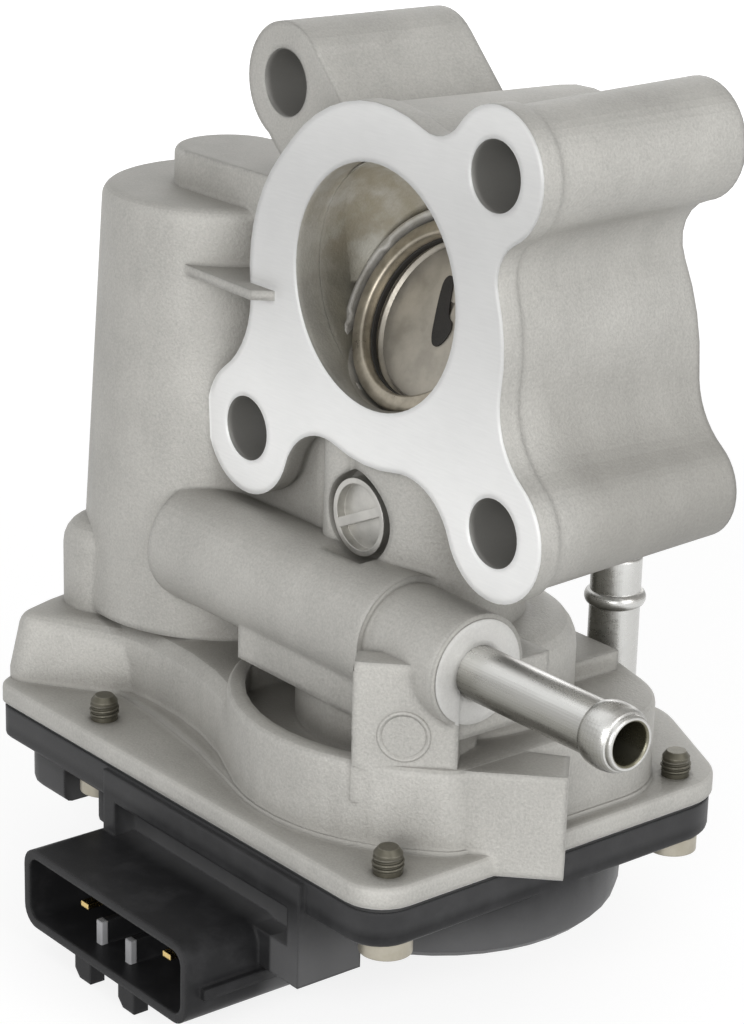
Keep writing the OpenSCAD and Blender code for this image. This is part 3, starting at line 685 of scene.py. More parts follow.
    def make(self) -> bpy.types.Material:
        """Builds the material.

        Returns:
            The material.
        """
        sheet = Sheet(self.name)
        soft, worn = sheet.edges(self.softness)
        y, z = sheet.axes()[1:]
        grain = sheet.noise(self.grain, 3.0, 0.65)
        pits = sheet.cells(self.pit_size)
        clouds = sheet.noise(self.cloud_size, 4.0, 0.6)
        lay = sheet.noise(self.lay_size, 2.0, 0.5, self.lay_stretch)
        in_duct = sheet.radius(1, (0.0, 0.0)).below(self.duct_bore, self.duct_fade)
        gassed = in_duct * (y.step(*self.gas_depths) * 0.45 + 0.5)
        bolt, flat = self._bolt_mask(sheet), self._machined_mask(sheet)
        cut = flat.either(bolt)
        colour = self._as_cast(sheet, worn, grain, clouds)
        colour = sheet.mix(gassed, colour, self._burnt(sheet, z))
        colour = sheet.mix(bolt * self.drill_share, colour, self.drilled)
        colour = sheet.mix(flat, colour, self._cut_bright(sheet, lay, clouds))
        return sheet.surface(
            Base_Color=colour,
            Roughness=sheet.blend(cut, grain.swing(0.3) + self.roughness[0],
                                  lay.swing(0.2) + self.roughness[1]),
            Metallic=sheet.blend(flat, *self.metallic),
            Normal=sheet.bump((grain + pits * 0.35) * (1.0 - cut * 0.95), self.depth,
                              soft))


@dataclass(frozen=True)
class DrawnTube(Finish):
    """Plated tube with painted reflections: light and dark bands by which way the surface
    faces, broken by the streaks that a drawing die leaves.
    """

    name: str = "zinc_plated_tube"
    bright: Colour = (0.80, 0.795, 0.77)
    inside: Colour = (0.13, 0.12, 0.07)
    # Painted reflection: the side that the bands follow, and the bands of light and dark.
    reflection_side: Point = (0.55, 0.30, 0.78)
    reflection_bands: tuple[tuple[float, Colour], ...] = (
        (0.0, (0.52, 0.51, 0.48)), (0.08, (0.34, 0.33, 0.30)), (0.16, (0.11, 0.105, 0.09)),
        (0.34, (0.24, 0.235, 0.21)), (0.54, (0.40, 0.395, 0.375)),
        (0.68, (0.66, 0.66, 0.64)), (0.84, (0.56, 0.555, 0.535)), (0.93, (0.30, 0.29, 0.27)),
        (1.0, (0.24, 0.235, 0.22)))
    bore: float = 3.3 * MM
    bore_fade: float = 0.15 * MM
    bore_share: float = 0.85
    edge: float = 0.3 * MM
    edge_wear: float = 0.4
    streak_size: float = 0.7 * MM
    grain: float = 0.3 * MM
    depth: float = 0.005 * MM
    roughness: float = 0.3
    metallic: float = 0.85
    axes_at: tuple[tuple[int, float, float], ...] = ((0, 0.0, -47.4), (2, 3.5, 45.0))

    def make(self) -> bpy.types.Material:
        """Builds the material.

        Returns:
            The material.
        """
        sheet = Sheet(self.name)
        soft, worn = sheet.edges(self.edge)
        streaks = sheet.noise(self.streak_size, 2.0, 0.55, (0.08, 0.6, 1.0))
        grain = sheet.noise(self.grain, 3.0, 0.6)
        # Painted reflection: colour follows how squarely the surface faces one side, through
        # light and dark bands.
        reflection = sheet.facing(self.reflection_side) * 0.5 + streaks.swing(0.12) + 0.5
        ramp = sheet.node("ShaderNodeValToRGB", {"stops": self.reflection_bands}, {0: reflection})
        colour = Wire(sheet, ramp.outputs["Color"], Kind.COLOUR)
        bores = reduce(Wire.either, (
            sheet.radius(along, mm(*at)).step(self.bore, self.bore - self.bore_fade)
            for along, *at in self.axes_at))
        colour = sheet.mix(bores * self.bore_share, colour, self.inside)
        return sheet.surface(
            Base_Color=sheet.mix(worn * self.edge_wear, colour, self.bright),
            Roughness=grain.swing(0.2) + streaks.swing(0.2) + self.roughness,
            Metallic=self.metallic,
            Normal=sheet.bump(grain, self.depth, soft))


@dataclass(frozen=True)
class CoverPlastic(Finish):
    """Glass-filled plastic of the cover, with a painted grey sheen where it hangs below the
    base plate away from the connector, and a fainter one on the part above.
    """

    name: str = "cover_plastic"
    black: Colour = (0.017, 0.017, 0.018)
    # Grey of the painted sheen, and the heights over which it comes in.
    grey: Colour = (0.13, 0.13, 0.132)
    grey_from: float = -79.0 * MM
    grey_to: float = -90.0 * MM
    clear_behind: tuple[float, float] = (-22.0 * MM, -17.0 * MM)
    clear_beside: tuple[float, float] = (6.5 * MM, 7.5 * MM)
    # Fainter painted sheen on the cover above the grey, and how strongly the sheen shows.
    band_sheen_fade: float = 2 * MM
    band_sheen_share: float = 0.28
    sheen_share: float = 0.9
    dust_share: float = 0.6
    dusty: tuple[float, float] = (1.5, 0.004)
    edge: float = 0.7 * MM
    scuff: float = 0.5
    scuff_lift: float = 0.03
    grain: float = 0.22 * MM
    dust_size: float = 6 * MM
    depth: float = 0.008 * MM
    roughness: float = 0.42
    gloss: float = 0.16

    def make(self) -> bpy.types.Material:
        """Builds the material.

        Returns:
            The material.
        """
        sheet = Sheet(self.name)
        soft, worn = sheet.edges(self.edge)
        x, y, z = sheet.axes()
        grain = sheet.noise(self.grain, 2.0, 0.55)
        dust = sheet.noise(self.dust_size, 5.0, 0.65)
        # Painted sheen: grey low on the cover away from the connector, fainter above.
        clear = y.step(*self.clear_behind).either(x.step(*self.clear_beside))
        band_sheen = z.step(self.grey_from - self.band_sheen_fade, self.grey_from)
        sheen = z.step(self.grey_from, self.grey_to).both(clear).either(
            band_sheen * self.band_sheen_share)
        colour = sheet.mix(dust.step(0.42, 0.72) * self.dust_share, self.black,
                           shade(self.black, *self.dusty))
        colour = sheet.mix(sheen * self.sheen_share + dust.swing(0.25), colour, self.grey)
        return sheet.surface(
            Base_Color=sheet.mix(worn * self.scuff, colour,
                                 shade(self.black, 1.0, self.scuff_lift)),
            Roughness=grain.swing(0.25) + dust.swing(0.25) + self.roughness,
            Specular_IOR_Level=self.gloss,
            Normal=sheet.bump(grain, self.depth, soft))


@dataclass(frozen=True)
class OiledScrew(Finish):
    """Screw steel: olive and oily at the threaded tip, passivated at the head."""

    name: str = "oiled_screw"
    tip: Colour = (0.085, 0.08, 0.06)
    head: Colour = (0.46, 0.43, 0.36)
    tip_oil: Colour = (0.15, 0.14, 0.11)
    head_oil: Colour = (0.34, 0.31, 0.24)
    rubbed: Colour = (0.40, 0.38, 0.33)
    head_to_tip: tuple[float, float] = (-75.0 * MM, -74.0 * MM)
    edge: float = 0.25 * MM
    edge_wear: float = 0.4
    grain: float = 0.3 * MM
    cloud_size: float = 2 * MM
    depth: float = 0.008 * MM
    roughness: float = 0.42
    metallic: float = 0.75

    def make(self) -> bpy.types.Material:
        """Builds the material.

        Returns:
            The material.
        """
        sheet = Sheet(self.name)
        soft, worn = sheet.edges(self.edge)
        grain = sheet.noise(self.grain, 3.0, 0.6)
        clouds = sheet.noise(self.cloud_size, 3.0, 0.6)
        up = sheet.axes()[2].step(*self.head_to_tip)
        colour = sheet.mix(up, self.head, self.tip)
        colour = sheet.mix(clouds.swing(1.2) + 0.3, colour,
                           sheet.mix(up, self.head_oil, self.tip_oil))
        return sheet.surface(
            Base_Color=sheet.mix(worn * self.edge_wear, colour, self.rubbed),
            Roughness=grain.swing(0.3) + self.roughness,
            Metallic=self.metallic,
            Normal=sheet.bump(grain, self.depth, soft))


CASTING = HousingCasting()
FILLET = HousingCasting("fillet_aluminium", softness=0.05 * MM)
LIP = HousingCasting("staked_lip_aluminium", softness=0.05 * MM,
                     low_soot_and_shade=((0.20, 0.19, 0.17), (0.34, 0.33, 0.31)),
                     tinted=((0.50, 0.48, 0.43), (0.70, 0.69, 0.66)))
TUBE = DrawnTube()
COVER = CoverPlastic()
SCREW = OiledScrew()
STEEL = Metal("machined_steel", (0.60, 0.585, 0.55), 0.32, 0.85,
              brushed=(1.0, 1.0, 6.0))
SCORCHED_STEEL = Metal("heat_tinted_steel", (0.43, 0.40, 0.345), 0.42, 0.6,
                       grain=0.35 * MM, depth=0.012 * MM, stain=0.08)
RING_STEEL = Metal("seat_ring_steel", (0.40, 0.36, 0.29), 0.36, 0.7,
                   grain=0.35 * MM, depth=0.012 * MM, stain=0.16)
PLUG_STEEL = Metal("plug_steel", (0.53, 0.52, 0.49), 0.38, 0.85,
                   brushed=(1.0, 1.0, 6.0), stain=0.08)
# Soot black for the seat's sealing ring and the flap's slot: partly soot, partly painted shade.
SOOT_AND_SHADE = Metal("soot_and_shade_black", (0.022, 0.020, 0.018), 0.7, 0.1, stain=0.2)
PALE_PLASTIC = Moulding("pale_grey_plastic", (0.42, 0.42, 0.43), 0.45, scuff=0.2)
DARK_STEEL = Metal("blackened_steel", (0.09, 0.085, 0.08), 0.45, 0.7, stain=0.2)
BRONZE = Metal("sintered_bronze", (0.45, 0.28, 0.14), 0.5, 0.9, depth=0.01 * MM)
BRASS = Metal("brass", (0.62, 0.45, 0.19), 0.3, 0.95)
GOLD = Metal("gilt_contact", (0.78, 0.58, 0.24), 0.25, 1.0, stain=0.05)
COPPER = Metal("enamelled_copper", (0.48, 0.20, 0.09), 0.35, 0.9, grain=0.4 * MM,
               depth=0.03 * MM, brushed=(1.0, 1.0, 0.2))
FERRITE = Metal("ferrite", (0.05, 0.048, 0.05), 0.6, 0.2, depth=0.01 * MM)
PLATED = Metal("plated_steel", (0.50, 0.49, 0.46), 0.34, 0.9)
BLACK_PLASTIC = Moulding("glass_filled_black_plastic", (0.022, 0.022, 0.024), 0.42)
BLACK_RUBBER = Moulding("black_rubber", (0.018, 0.018, 0.019), 0.62, scuff=0.2)
NYLON = Moulding("natural_nylon", (0.62, 0.59, 0.50), 0.4, scuff=0.3, depth=0.005 * MM)


# ---- smooth shading of the CAD surfaces


def smooth_modifier_tree(crease: float,
                         weld_reach: float = 0.0005 * MM) -> bpy.types.NodeTree:
    """Geometry nodes that shade a faceted casting smooth up to a crease angle.

    Args:
        crease: Angle in radians above which an edge stays sharp.
        weld_reach: Distance in metres within which points are taken as one.

    Returns:
        The node group.
    """
    group = bpy.data.node_groups.new("smooth_casting", "GeometryNodeTree")
    for way in ("INPUT", "OUTPUT"):
        group.interface.new_socket("Geometry", in_out=way, socket_type="NodeSocketGeometry")
    add = Board(group).node
    start = add("NodeGroupInput", {}, {})
    strip = add("GeometryNodeRemoveAttribute", {},
                {"Geometry": start.outputs[0], "Name": "custom_normal"})
    weld = add("GeometryNodeMergeByDistance", {},
               {"Geometry": strip.outputs["Geometry"], "Distance": weld_reach})
    faces = add("GeometryNodeSetShadeSmooth", {"domain": "FACE"},
                {"Geometry": weld.outputs["Geometry"]})
    angle = add("GeometryNodeInputMeshEdgeAngle", {}, {})
    small = add("FunctionNodeCompare", {"operation": "LESS_THAN"},
                {0: angle.outputs["Unsigned Angle"], 1: crease})
    edges = add("GeometryNodeSetShadeSmooth", {"domain": "EDGE"},
                {"Geometry": faces.outputs["Geometry"], "Shade Smooth": small.outputs[0]})
    add("NodeGroupOutput", {}, {0: edges.outputs["Geometry"]})
    return group


def smooth(names: Iterable[str], crease: float = math.radians(24)) -> None:
    """Shades CAD nodes smooth without touching their meshes.

    Args:
        names: Names of the nodes.
        crease: Angle in radians above which an edge stays sharp.
    """
    tree = smooth_modifier_tree(crease)
    for name in names:
        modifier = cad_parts[name].modifiers.new("smooth_casting", "NODES")
        modifier.node_group = tree


# ---- pieces


def piece_from(name: str, verts: Sequence[Sequence[float]],
               faces: Sequence[Sequence[int]], body: str,
               rounded: bool = True) -> bpy.types.Object:
    """Makes a piece from points and faces, and lets it ride on a body.

    Args:
        name: Name of the piece.
        verts: Points in metres.
        faces: Corners of each face.
        body: Body that it rides on.
        rounded: Whether its faces are shaded smooth.

    Returns:
        The piece.
    """
    mesh = bpy.data.meshes.new(name)
    mesh.from_pydata([tuple(v) for v in verts], [], [tuple(f) for f in faces])
    mesh.update()
    for polygon in mesh.polygons:
        polygon.use_smooth = rounded
    piece = bpy.data.objects.new(name, mesh)
    bpy.context.scene.collection.objects.link(piece)
    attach(piece, body)
    return piece


def block(name: str, points: Sequence[Vector], body: str) -> bpy.types.Object:
    """Makes a flat-sided block between two outlines of equally many points.

    Args:
        name: Name of the piece.
        points: Points of the low outline, then those of the high one, in metres.
        body: Body that it rides on.

    Returns:
        The piece.
    """
    count = len(points) // 2
    faces = [tuple(range(count - 1, -1, -1)), tuple(range(count, 2 * count))]
    faces += [(k, (k + 1) % count, count + (k + 1) % count, count + k)
              for k in range(count)]
    return piece_from(name, points, faces, body, rounded=False)


@dataclass(frozen=True)
class Axis:
    """Axis that round pieces are turned about."""

    centre: Point
    along: Point
    level: Point = (1.0, 0.0, 0.0)

    def point(self, angle: float, radius: float, reach: float) -> Vector:
        """A point round the axis.

        Args:
            angle: Angle from the level direction, in radians.
            radius: Distance from the axis in millimetres.
            reach: Distance along the axis in millimetres.

        Returns:
            The point, in metres.
        """
        along, level = Vector(self.along), Vector(self.level)
        upright = level.cross(along)
        return (Vector(self.centre) + along * reach + radius * (
            level * math.cos(angle) + upright * math.sin(angle))) * MM


def turned(name: str, axis: Axis, profile: Callable[[float], Sequence[tuple[float, float]]],
           body: str, around: int = 180) -> bpy.types.Object:
    """Turns a closed profile about an axis.

    Args:
        name: Name of the piece.
        axis: The axis.
        profile: Radius and reach of each corner, in millimetres, at a given angle.
        body: Body that the piece rides on.
        around: Number of steps in the circle.

    Returns:
        The piece.
    """
    verts: list[Vector] = []
    count = len(profile(0.0))
    for i in range(around):
        angle = 2 * math.pi * i / around
        verts += [axis.point(angle, *corner) for corner in profile(angle)]
    faces = [(i * count + k, i * count + (k + 1) % count,
              (i + 1) % around * count + (k + 1) % count, (i + 1) % around * count + k)
             for i in range(around) for k in range(count)]
    return piece_from(name, verts, faces, body)


@dataclass
class GasSeat:
    """Pressed seat ring with the staked lip that holds it, and a soot-black ring at its sealing
    edge: partly soot, partly painted shade for the dark gap round the flap disc.
    """

    tilt: float = math.radians(27.3)
    centre: Point = (0.0, 13.3, -7.0)
    ring: tuple[tuple[float, float], ...] = (
        (11.62, -1.9), (11.62, -4.35), (11.8, -4.62), (12.05, -4.7), (13.65, -4.55),
        (13.95, -4.25), (14.0, -3.9), (14.0, -2.1), (12.8, -2.1))
    lip: tuple[tuple[float, float], ...] = (
        (14.5, -2.0), (14.55, -4.6), (14.75, -5.0), (15.1, -5.05), (15.5, -4.8),
        (16.2, -3.4), (16.6, -2.0))
    # Soot-black ring at the sealing edge: partly soot, partly painted shade for the gap round
    # the flap disc.
    soot_shade_ring: tuple[tuple[float, float], ...] = (
        (11.48, -1.92), (11.5, -2.75), (11.64, -3.0), (11.64, -1.92))
    stakes: int = 8
    first_stake: float = math.radians(15)
    stake_width: float = math.radians(4.5)
    stake_depth: float = 0.28
    stake_slope: float = 1.6
    staked_within: float = 15.3
    staked_below: float = -4.0
    bore: float = 16.86
    skin_foot: tuple[float, float] = (15.75, -4.3)
    skin_depth: float = 0.4
    least_gap: float = 0.05
    flare: float = 2.2
    run_in: float = 1.8
    skin_from: float = math.radians(4)
    skin_steps: int = 80
    curve_steps: int = 12

    def axis(self) -> Axis:
        """Axis that the seat is pressed in along."""
        return Axis(self.centre, (0.0, math.cos(self.tilt), -math.sin(self.tilt)))

    def _lip_at(self, angle: float) -> list[tuple[float, float]]:
        """Profile of the lip, pressed inwards at each stake.

        Args:
            angle: Angle round the seat.

        Returns:
            Its corners.
        """
        apart = 2 * math.pi / self.stakes
        off = abs((angle - self.first_stake + apart / 2) % apart - apart / 2)
        share = min(1.0, max(0.0, self.stake_slope * (1 - off / self.stake_width)))
        press = share * self.stake_depth
        return [(r - press, a + press)
                if r < self.staked_within and a < self.staked_below else (r, a)
                for r, a in self.lip]

    def _skin(self) -> bpy.types.Object:
        """Smooth fillet from the bore wall down to the lip, over the upper half.

        Returns:
            The piece.
        """
        axis = self.axis()
        verts: list[Vector] = []
        for i in range(self.skin_steps + 1):
            share = i / self.skin_steps
            angle = self.skin_from + share * (math.pi - 2 * self.skin_from)
            foot = axis.point(angle, *self.skin_foot) / MM
            reach = math.hypot(foot.x, foot.z)
            away = Vector((foot.x, 0.0, foot.z)) / reach
            gap = max(self.least_gap, self.bore - reach)
            for k in range(self.curve_steps + 1):
                share_in = k / self.curve_steps
                radius = self.bore - gap * share_in ** self.flare
                along = foot.y - self.run_in * gap * (1 - share_in)
                verts.append((away * radius + Vector((0.0, along, 0.0))) * MM)
            behind = Vector((0.0, foot.y + self.skin_depth, 0.0))
            verts.append((away * self.bore + behind) * MM)
        count = self.curve_steps + 2
        faces = [(i * count + k, i * count + (k + 1) % count,
                  (i + 1) * count + (k + 1) % count, (i + 1) * count + k)
                 for i in range(self.skin_steps) for k in range(count)]
        faces.append(tuple(range(count - 1, -1, -1)))
        faces.append(tuple(self.skin_steps * count + k for k in range(count)))
        piece = piece_from("seat_fillet", verts, faces, "housing")
        for number, polygon in enumerate(piece.data.polygons):
            polygon.use_smooth = number % count < self.curve_steps
        return piece

    def build(self) -> list[bpy.types.Object]:
        """Builds the ring, the lip, the fillet and the soot-black ring at the sealing edge,
        partly painted shade.

        Returns:
            The pieces.
        """
        axis = self.axis()
        ring = turned("seat_ring_front", axis, lambda angle: self.ring, "housing")
        RING_STEEL.dress(ring)
        lip = turned("seat_staked_lip", axis, self._lip_at, "housing",
                     720)
        skin = self._skin()
        LIP.dress(lip)
        FILLET.dress(skin)
        # Soot-black ring: partly soot, partly painted shade for the gap round the disc.
        edge = turned("seat_soot_shade_ring", axis, lambda angle: self.soot_shade_ring, "housing")
        SOOT_AND_SHADE.dress(edge)
        return [ring, lip, skin, edge]


@dataclass
class FlapSlot:
    """Thin soot-black sheet on the flap disc: painted shade for the hook-shaped slot where the
    shaft meets the disc's middle.
    """

    seat: GasSeat = field(default_factory=GasSeat)
    outline: tuple[tuple[float, float], ...] = (
        (-2.89, 5.69), (-2.6, 3.6), (-2.0, 1.2), (-0.9, -2.6), (0.2, -3.7), (1.5, -3.0),
        (2.3, -1.0), (1.9, 0.4), (1.0, 0.7), (0.3, 1.9), (-0.4, 3.9), (-1.1, 6.0),
        (-2.0, 6.6))
    low: float = -0.8
    high: float = -1.06
    roundings: int = 2
    corner_shares: tuple[float, float] = (0.75, 0.25)

    def build(self) -> list[bpy.types.Object]:
        """Builds the dark sheet, with its outline rounded by cutting corners off.

        Returns:
            The piece, alone in a list.
        """
        points = list(self.outline)
        for _ in range(self.roundings):
            points = [(a[0] * w + b[0] * (1 - w), a[1] * w + b[1] * (1 - w))
                      for a, b in zip(points, points[1:] + points[:1])
                      for w in self.corner_shares]
        axis = self.seat.axis()
        # Thin dark sheet: painted shade for the slot.
        piece = block("flap_slot_painted_shade",
                      [axis.point(math.atan2(t, x), math.hypot(x, t), reach)
                       for reach in (self.low, self.high) for x, t in points],
                      "valve")
        SOOT_AND_SHADE.dress(piece)
        return [piece]


@dataclass
class EjectorMark:
    """Ring that an ejector pin leaves on the slanted end of the coolant gallery."""

    axis: Axis = Axis((19.26, -8.39, -56.4), (math.sqrt(0.5), -math.sqrt(0.5), 0.0),
                      (math.sqrt(0.5), math.sqrt(0.5), 0.0))
    profile: tuple[tuple[float, float], ...] = (
        (2.95, -0.8), (2.95, 0.06), (3.1, 0.1), (3.25, 0.3), (3.45, 0.34), (3.65, 0.2),
        (3.8, -0.1), (3.8, -0.8))
    around: int = 96

    def build(self) -> list[bpy.types.Object]:
        """Builds the mark.

        Returns:
            Its raised ring and its flat middle.
        """
        mark = turned("ejector_mark", self.axis, lambda angle: self.profile, "housing",
                      self.around)
        middle = block("ejector_mark_middle",
                       [self.axis.point(2 * math.pi * k / self.around, *corner)
                        for corner in self.profile[:2] for k in range(self.around)],
                       "housing")
        FILLET.dress(mark, middle)
        return [mark, middle]


@dataclass
class SocketBlades:
    """Pale blades on the front ends of the two ribs that part the connector's cavity."""

    across: tuple[float, ...] = (-21.7, -14.4)
    half_width: float = 0.7
    front: float = -30.15
    back: float = -29.0
    low: float = -98.3
    high: float = -94.3
    chamfer: float = 0.2

    def build(self) -> list[bpy.types.Object]:
        """Builds the blades.

        Returns:
            The blades.
        """
        made = []
        for number, x in enumerate(self.across, 1):
            rings = ((self.back, 0.0), (self.front + self.chamfer, 0.0),
                     (self.front, self.chamfer))
            verts = [mm(x + side * (self.half_width - inset), y,
                        (self.low + inset) if floor else (self.high - inset))
                     for y, inset in rings
                     for side, floor in ((-1, 1), (1, 1), (1, 0), (-1, 0))]
            faces = [(k + r * 4, (k + 1) % 4 + r * 4, (k + 1) % 4 + r * 4 + 4,
                      k + r * 4 + 4) for r in range(2) for k in range(4)]
            faces += [(3, 2, 1, 0), (8, 9, 10, 11)]
            made.append(piece_from(f"socket_blade_{number}", verts, faces, "housing",
                                   rounded=False))
        PALE_PLASTIC.dress(*made)
        return made


@dataclass
class ScrewTips:
    """Threaded ends of the cover screws where they come through the base plate."""

    places: tuple[tuple[float, float], ...] = (
        (-41.4, -15.8), (23.7, -14.2), (23.3, 39.7), (-24.0, 44.8), (-69.5, 32.5))
    root: float = 1.98
    crest: float = 2.22
    pitch: float = 0.7
    low: float = -72.9
    high: float = -70.7
    around: int = 36
    ridge: tuple[tuple[float, float], ...] = ((0.0, 0.0), (0.36, 1.0), (0.5, 1.0), (0.86, 0.0))

    def build(self) -> list[bpy.types.Object]:
        """Builds the thread of every screw.

        Returns:
            The threads.
        """
        made = [self._thread(number, at) for number, at in enumerate(self.places, 1)]
        SCREW.dress(*made)
        return made

    def _thread(self, number: int, at: tuple[float, float]) -> bpy.types.Object:
        """One screw thread: a helical ridge that closes onto the shank at both ends.

        Args:
            number: Number of the screw.
            at: Place of its axis.

        Returns:
            The piece.
        """
        turns = (self.high - self.low) / self.pitch
        steps = int(turns * self.around)
        verts: list[tuple[float, ...]] = []
        faces: list[tuple[int, ...]] = []
        for i in range(steps + 1):
            angle = 2 * math.pi * i / self.around
            fade = min(1.0, i / self.around, (steps - i) / self.around)
            for rise, out in self.ridge:
                r = self.root + (self.crest - self.root) * out * fade
                z = self.low + self.pitch * (i / self.around + rise)
                verts.append(mm(at[0] + r * math.cos(angle), at[1] + r * math.sin(angle),
                                min(z, self.high + self.pitch)))
        count = len(self.ridge)
        for i in range(steps):
            for k in range(count):
                a, b = i * count + k, i * count + (k + 1) % count
                faces.append((a, a + count, b + count, b))
        faces.append(tuple(range(count)))
        faces.append(tuple(steps * count + k for k in range(count - 1, -1, -1)))
        return piece_from(f"screw_thread_{number}", verts, faces, "housing")


# ---- studio


def toward(azimuth: float, elevation: float) -> Vector:
    """Direction that leads from the part at two angles, in radians."""
    return Vector((math.sin(azimuth) * math.cos(elevation),
                   -math.cos(azimuth) * math.cos(elevation), math.sin(elevation)))


@dataclass(frozen=True)
class Viewpoint:
    """Camera fitted to the photograph."""

    azimuth: float = 50.61
    elevation: float = 19.07
    roll: float = 1.56
    place: Point = (293.90, -240.18, 99.48)
    focal_px: float = 2918.35
    frame_px: tuple[int, int] = (744, 1024)
    centre_px: tuple[float, float] = (373.68, 512.22)
    sensor: float = 36.0
    sight: tuple[float, float] = (0.01, 20.0)

    def build(self) -> None:
        """Makes the camera and sets it as the scene's own."""
        azimuth, elevation, roll = map(
            math.radians, (self.azimuth, self.elevation, self.roll))
        back = toward(azimuth, elevation)
        level = Vector((math.cos(azimuth), math.sin(azimuth), 0.0))
        upright = back.cross(level)
        right = level * math.cos(roll) + upright * math.sin(roll)
        up = upright * math.cos(roll) - level * math.sin(roll)
        turn = Matrix((right, up, back)).transposed().to_4x4()
        data = bpy.data.cameras.new("camera")
        data.sensor_width = self.sensor
        data.lens = self.focal_px / max(self.frame_px) * self.sensor
        data.shift_x = (self.frame_px[0] / 2 - self.centre_px[0]) / max(self.frame_px)
        data.shift_y = (self.centre_px[1] - self.frame_px[1] / 2) / max(self.frame_px)
        data.clip_start, data.clip_end = self.sight
        camera = bpy.data.objects.new("camera", data)
        camera.matrix_world = Matrix.Translation(Vector(mm(*self.place))) @ turn
        bpy.context.scene.collection.objects.link(camera)
        bpy.context.scene.camera = camera


@dataclass(frozen=True)
class Softbox:
    """Square lamp that faces the middle of the part.

    Its light is what a white wall at its distance would show, from 0 to 1.
    """

    name: str
    azimuth: float
    elevation: float
    distance: float
    size: float
    light: float

    def build(self, aim: Vector) -> None:
        """Hangs the lamp.

        Args:
            aim: Point that it faces.
        """
        away = toward(math.radians(self.azimuth), math.radians(self.elevation))
        data = bpy.data.lights.new(self.name, "AREA")
        data.shape = "SQUARE"
        data.size = self.size
        data.energy = self.light * math.pi ** 2 * self.distance ** 2
        lamp = bpy.data.objects.new(self.name, data)
        lamp.location = aim + away * self.distance
        lamp.rotation_euler = away.to_track_quat("Z", "Y").to_euler()
        bpy.context.scene.collection.objects.link(lamp)


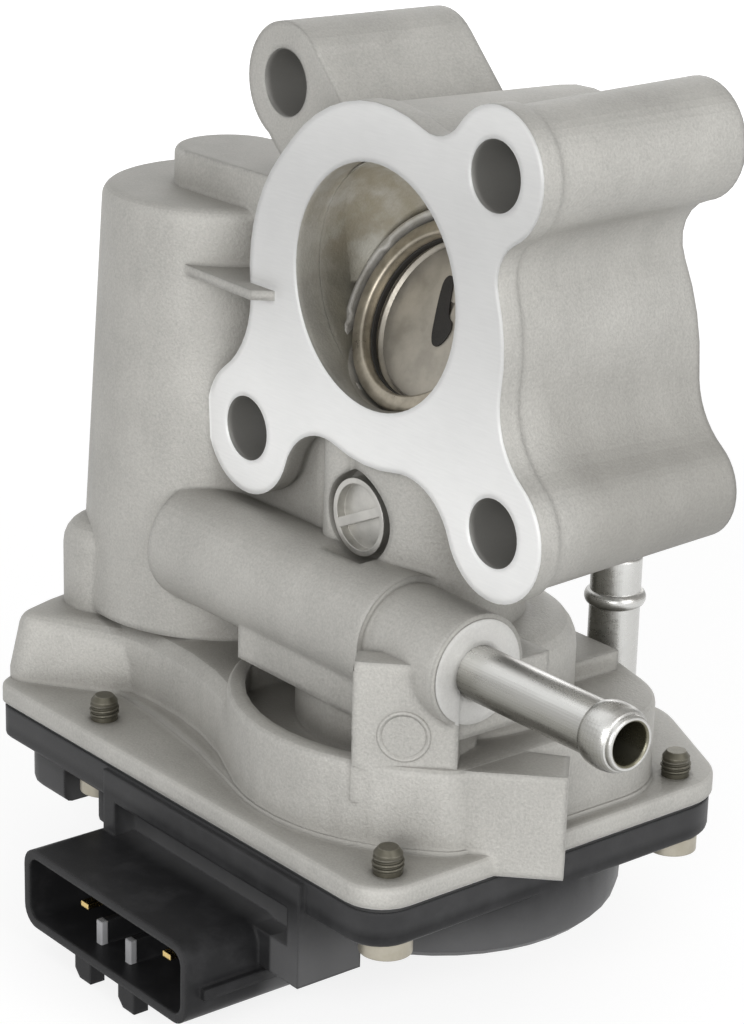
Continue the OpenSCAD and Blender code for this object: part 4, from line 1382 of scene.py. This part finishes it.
@dataclass
class Studio:
    """White sweep with soft lamps and a pale sky."""

    camera: Viewpoint = field(default_factory=Viewpoint)
    lamps: tuple[Softbox, ...] = (
        Softbox("key_lamp", 34.0, 17.0, 1.0, 0.6, 0.50),
        Softbox("side_lamp", 98.0, 22.0, 1.1, 0.6, 0.34),
        Softbox("top_lamp", -70.0, 62.0, 1.0, 0.6, 0.03),
        Softbox("back_lamp", 215.0, 18.0, 1.1, 0.6, 0.16))
    sky: float = 0.36
    floor_size: float = 9.0
    floor_matt: float = 0.6
    floor_dim: float = 0.32
    floor_glow: float = 0.8
    far_glow: float = 0.25
    pool: tuple[float, float] = (0.2, 0.6)

    def build(self) -> None:
        """Builds the sweep, the sky, the lamps and the camera."""
        low, high = (Vector(corner) for corner in CAD_BOX)
        self.camera.build()
        for lamp in self.lamps:
            lamp.build((low + high) / 2)
        self._floor(low.z)
        self._sky()
        bpy.context.scene.view_settings.view_transform = "Standard"

    @staticmethod
    def _seen(sheet: Sheet) -> Wire:
        """Mask of what the camera, gloss or glass sees, as against the light it gives.

        Args:
            sheet: The sheet that it is drawn on.

        Returns:
            The mask.
        """
        path = sheet.node("ShaderNodeLightPath", {}, {})
        camera, gloss, glass = (Wire(sheet, path.outputs[name]) for name in (
            "Is Camera Ray", "Is Glossy Ray", "Is Transmission Ray"))
        return camera.either(gloss).either(glass)

    def _sky(self) -> None:
        """Pale sky that the camera and polished metal see as white."""
        sheet = Sheet("sky", Holder.WORLD)
        pale, white = (sheet.shader("ShaderNodeBackground", {
            "Color": WHITE, "Strength": light}) for light in (self.sky, 1.0))
        bpy.context.scene.world = sheet.closed(sheet.shader(
            "ShaderNodeMixShader", {"Fac": self._seen(sheet), 1: pale, 2: white}))

    def _floor(self, level: float) -> None:
        """Pale floor that keeps the part's shadow.

        Args:
            level: Height of the floor.
        """
        half = self.floor_size / 2
        mesh = bpy.data.meshes.new("floor")
        mesh.from_pydata([(-half, -half, level), (half, -half, level),
                          (half, half, level), (-half, half, level)], [], [(0, 1, 2, 3)])
        floor = bpy.data.objects.new("floor", mesh)
        bpy.context.scene.collection.objects.link(floor)
        sheet = Sheet("white_sweep")
        matt, dim = (sheet.shader("ShaderNodeBsdfDiffuse", {"Color": shade(WHITE, part)})
                     for part in (self.floor_matt, self.floor_dim))
        far = sheet.radius(2, (0.0, 0.0)).step(*self.pool)
        glow = sheet.shader("ShaderNodeEmission", {
            "Color": far * self.far_glow + self.floor_glow, "Strength": 1.0})
        seen = sheet.shader("ShaderNodeAddShader", {0: dim, 1: glow})
        mesh.materials.append(sheet.closed(sheet.shader(
            "ShaderNodeMixShader", {"Fac": self._seen(sheet), 1: matt, 2: seen})))


# ---- making the whole


class Valve:
    """The valve as its maker assembles it, sub-assembly by sub-assembly."""

    plain: dict[Finish, tuple[str, ...]] = {
        CASTING: ("valve_housing",),
        SCORCHED_STEEL: ("seat_nozzle", "valve_disc", "piston_ring"),
        STEEL: ("valve_shaft", "bearing_outer_race", "bearing_balls",
                "bearing_inner_race", "intermediate_pin", "motor_shaft", "motor_can",
                "motor_end_plate", "wave_washer"),
        PLUG_STEEL: ("gallery_plug",),
        DARK_STEEL: ("return_spring", "bearing_circlip"),
        BRONZE: ("shaft_bush", "motor_bushes"),
        BRASS: ("motor_pinion", "motor_terminals"),
        GOLD: ("connector_pins",),
        COPPER: ("motor_armature",),
        FERRITE: ("sensor_magnet", "motor_magnets", "motor_brushes"),
        TUBE: ("coolant_pipe_front", "coolant_pipe_rear"),
        SCREW: ("cover_screws",),
        PLATED: ("motor_screws",),
        COVER: ("gear_cover",),
        BLACK_PLASTIC: ("brush_holder", "hall_sensor"),
        BLACK_RUBBER: ("cover_gasket", "shaft_seal"),
        NYLON: ("sector_gear", "intermediate_gear", "spring_guide"),
    }

    def dress(self) -> None:
        """Dresses the CAD nodes whose shape is right as they are."""
        for finish, names in self.plain.items():
            finish.dress(*names)
            LOG.info("%s on %s", finish.name, ", ".join(names))
        smooth(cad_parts)

    def build(self) -> None:
        """Builds the pieces that the solids leave plain."""
        for part in (GasSeat(), FlapSlot(), EjectorMark(), SocketBlades(), ScrewTips()):
            for piece in part.build():
                LOG.info("%s", piece.name)


def main() -> None:
    """Builds the valve and its studio."""
    logging.basicConfig(level=logging.INFO, format="%(message)s", stream=sys.stdout)
    Studio().build()
    valve = Valve()
    valve.dress()
    valve.build()


if __name__ == "__main__":
    main()
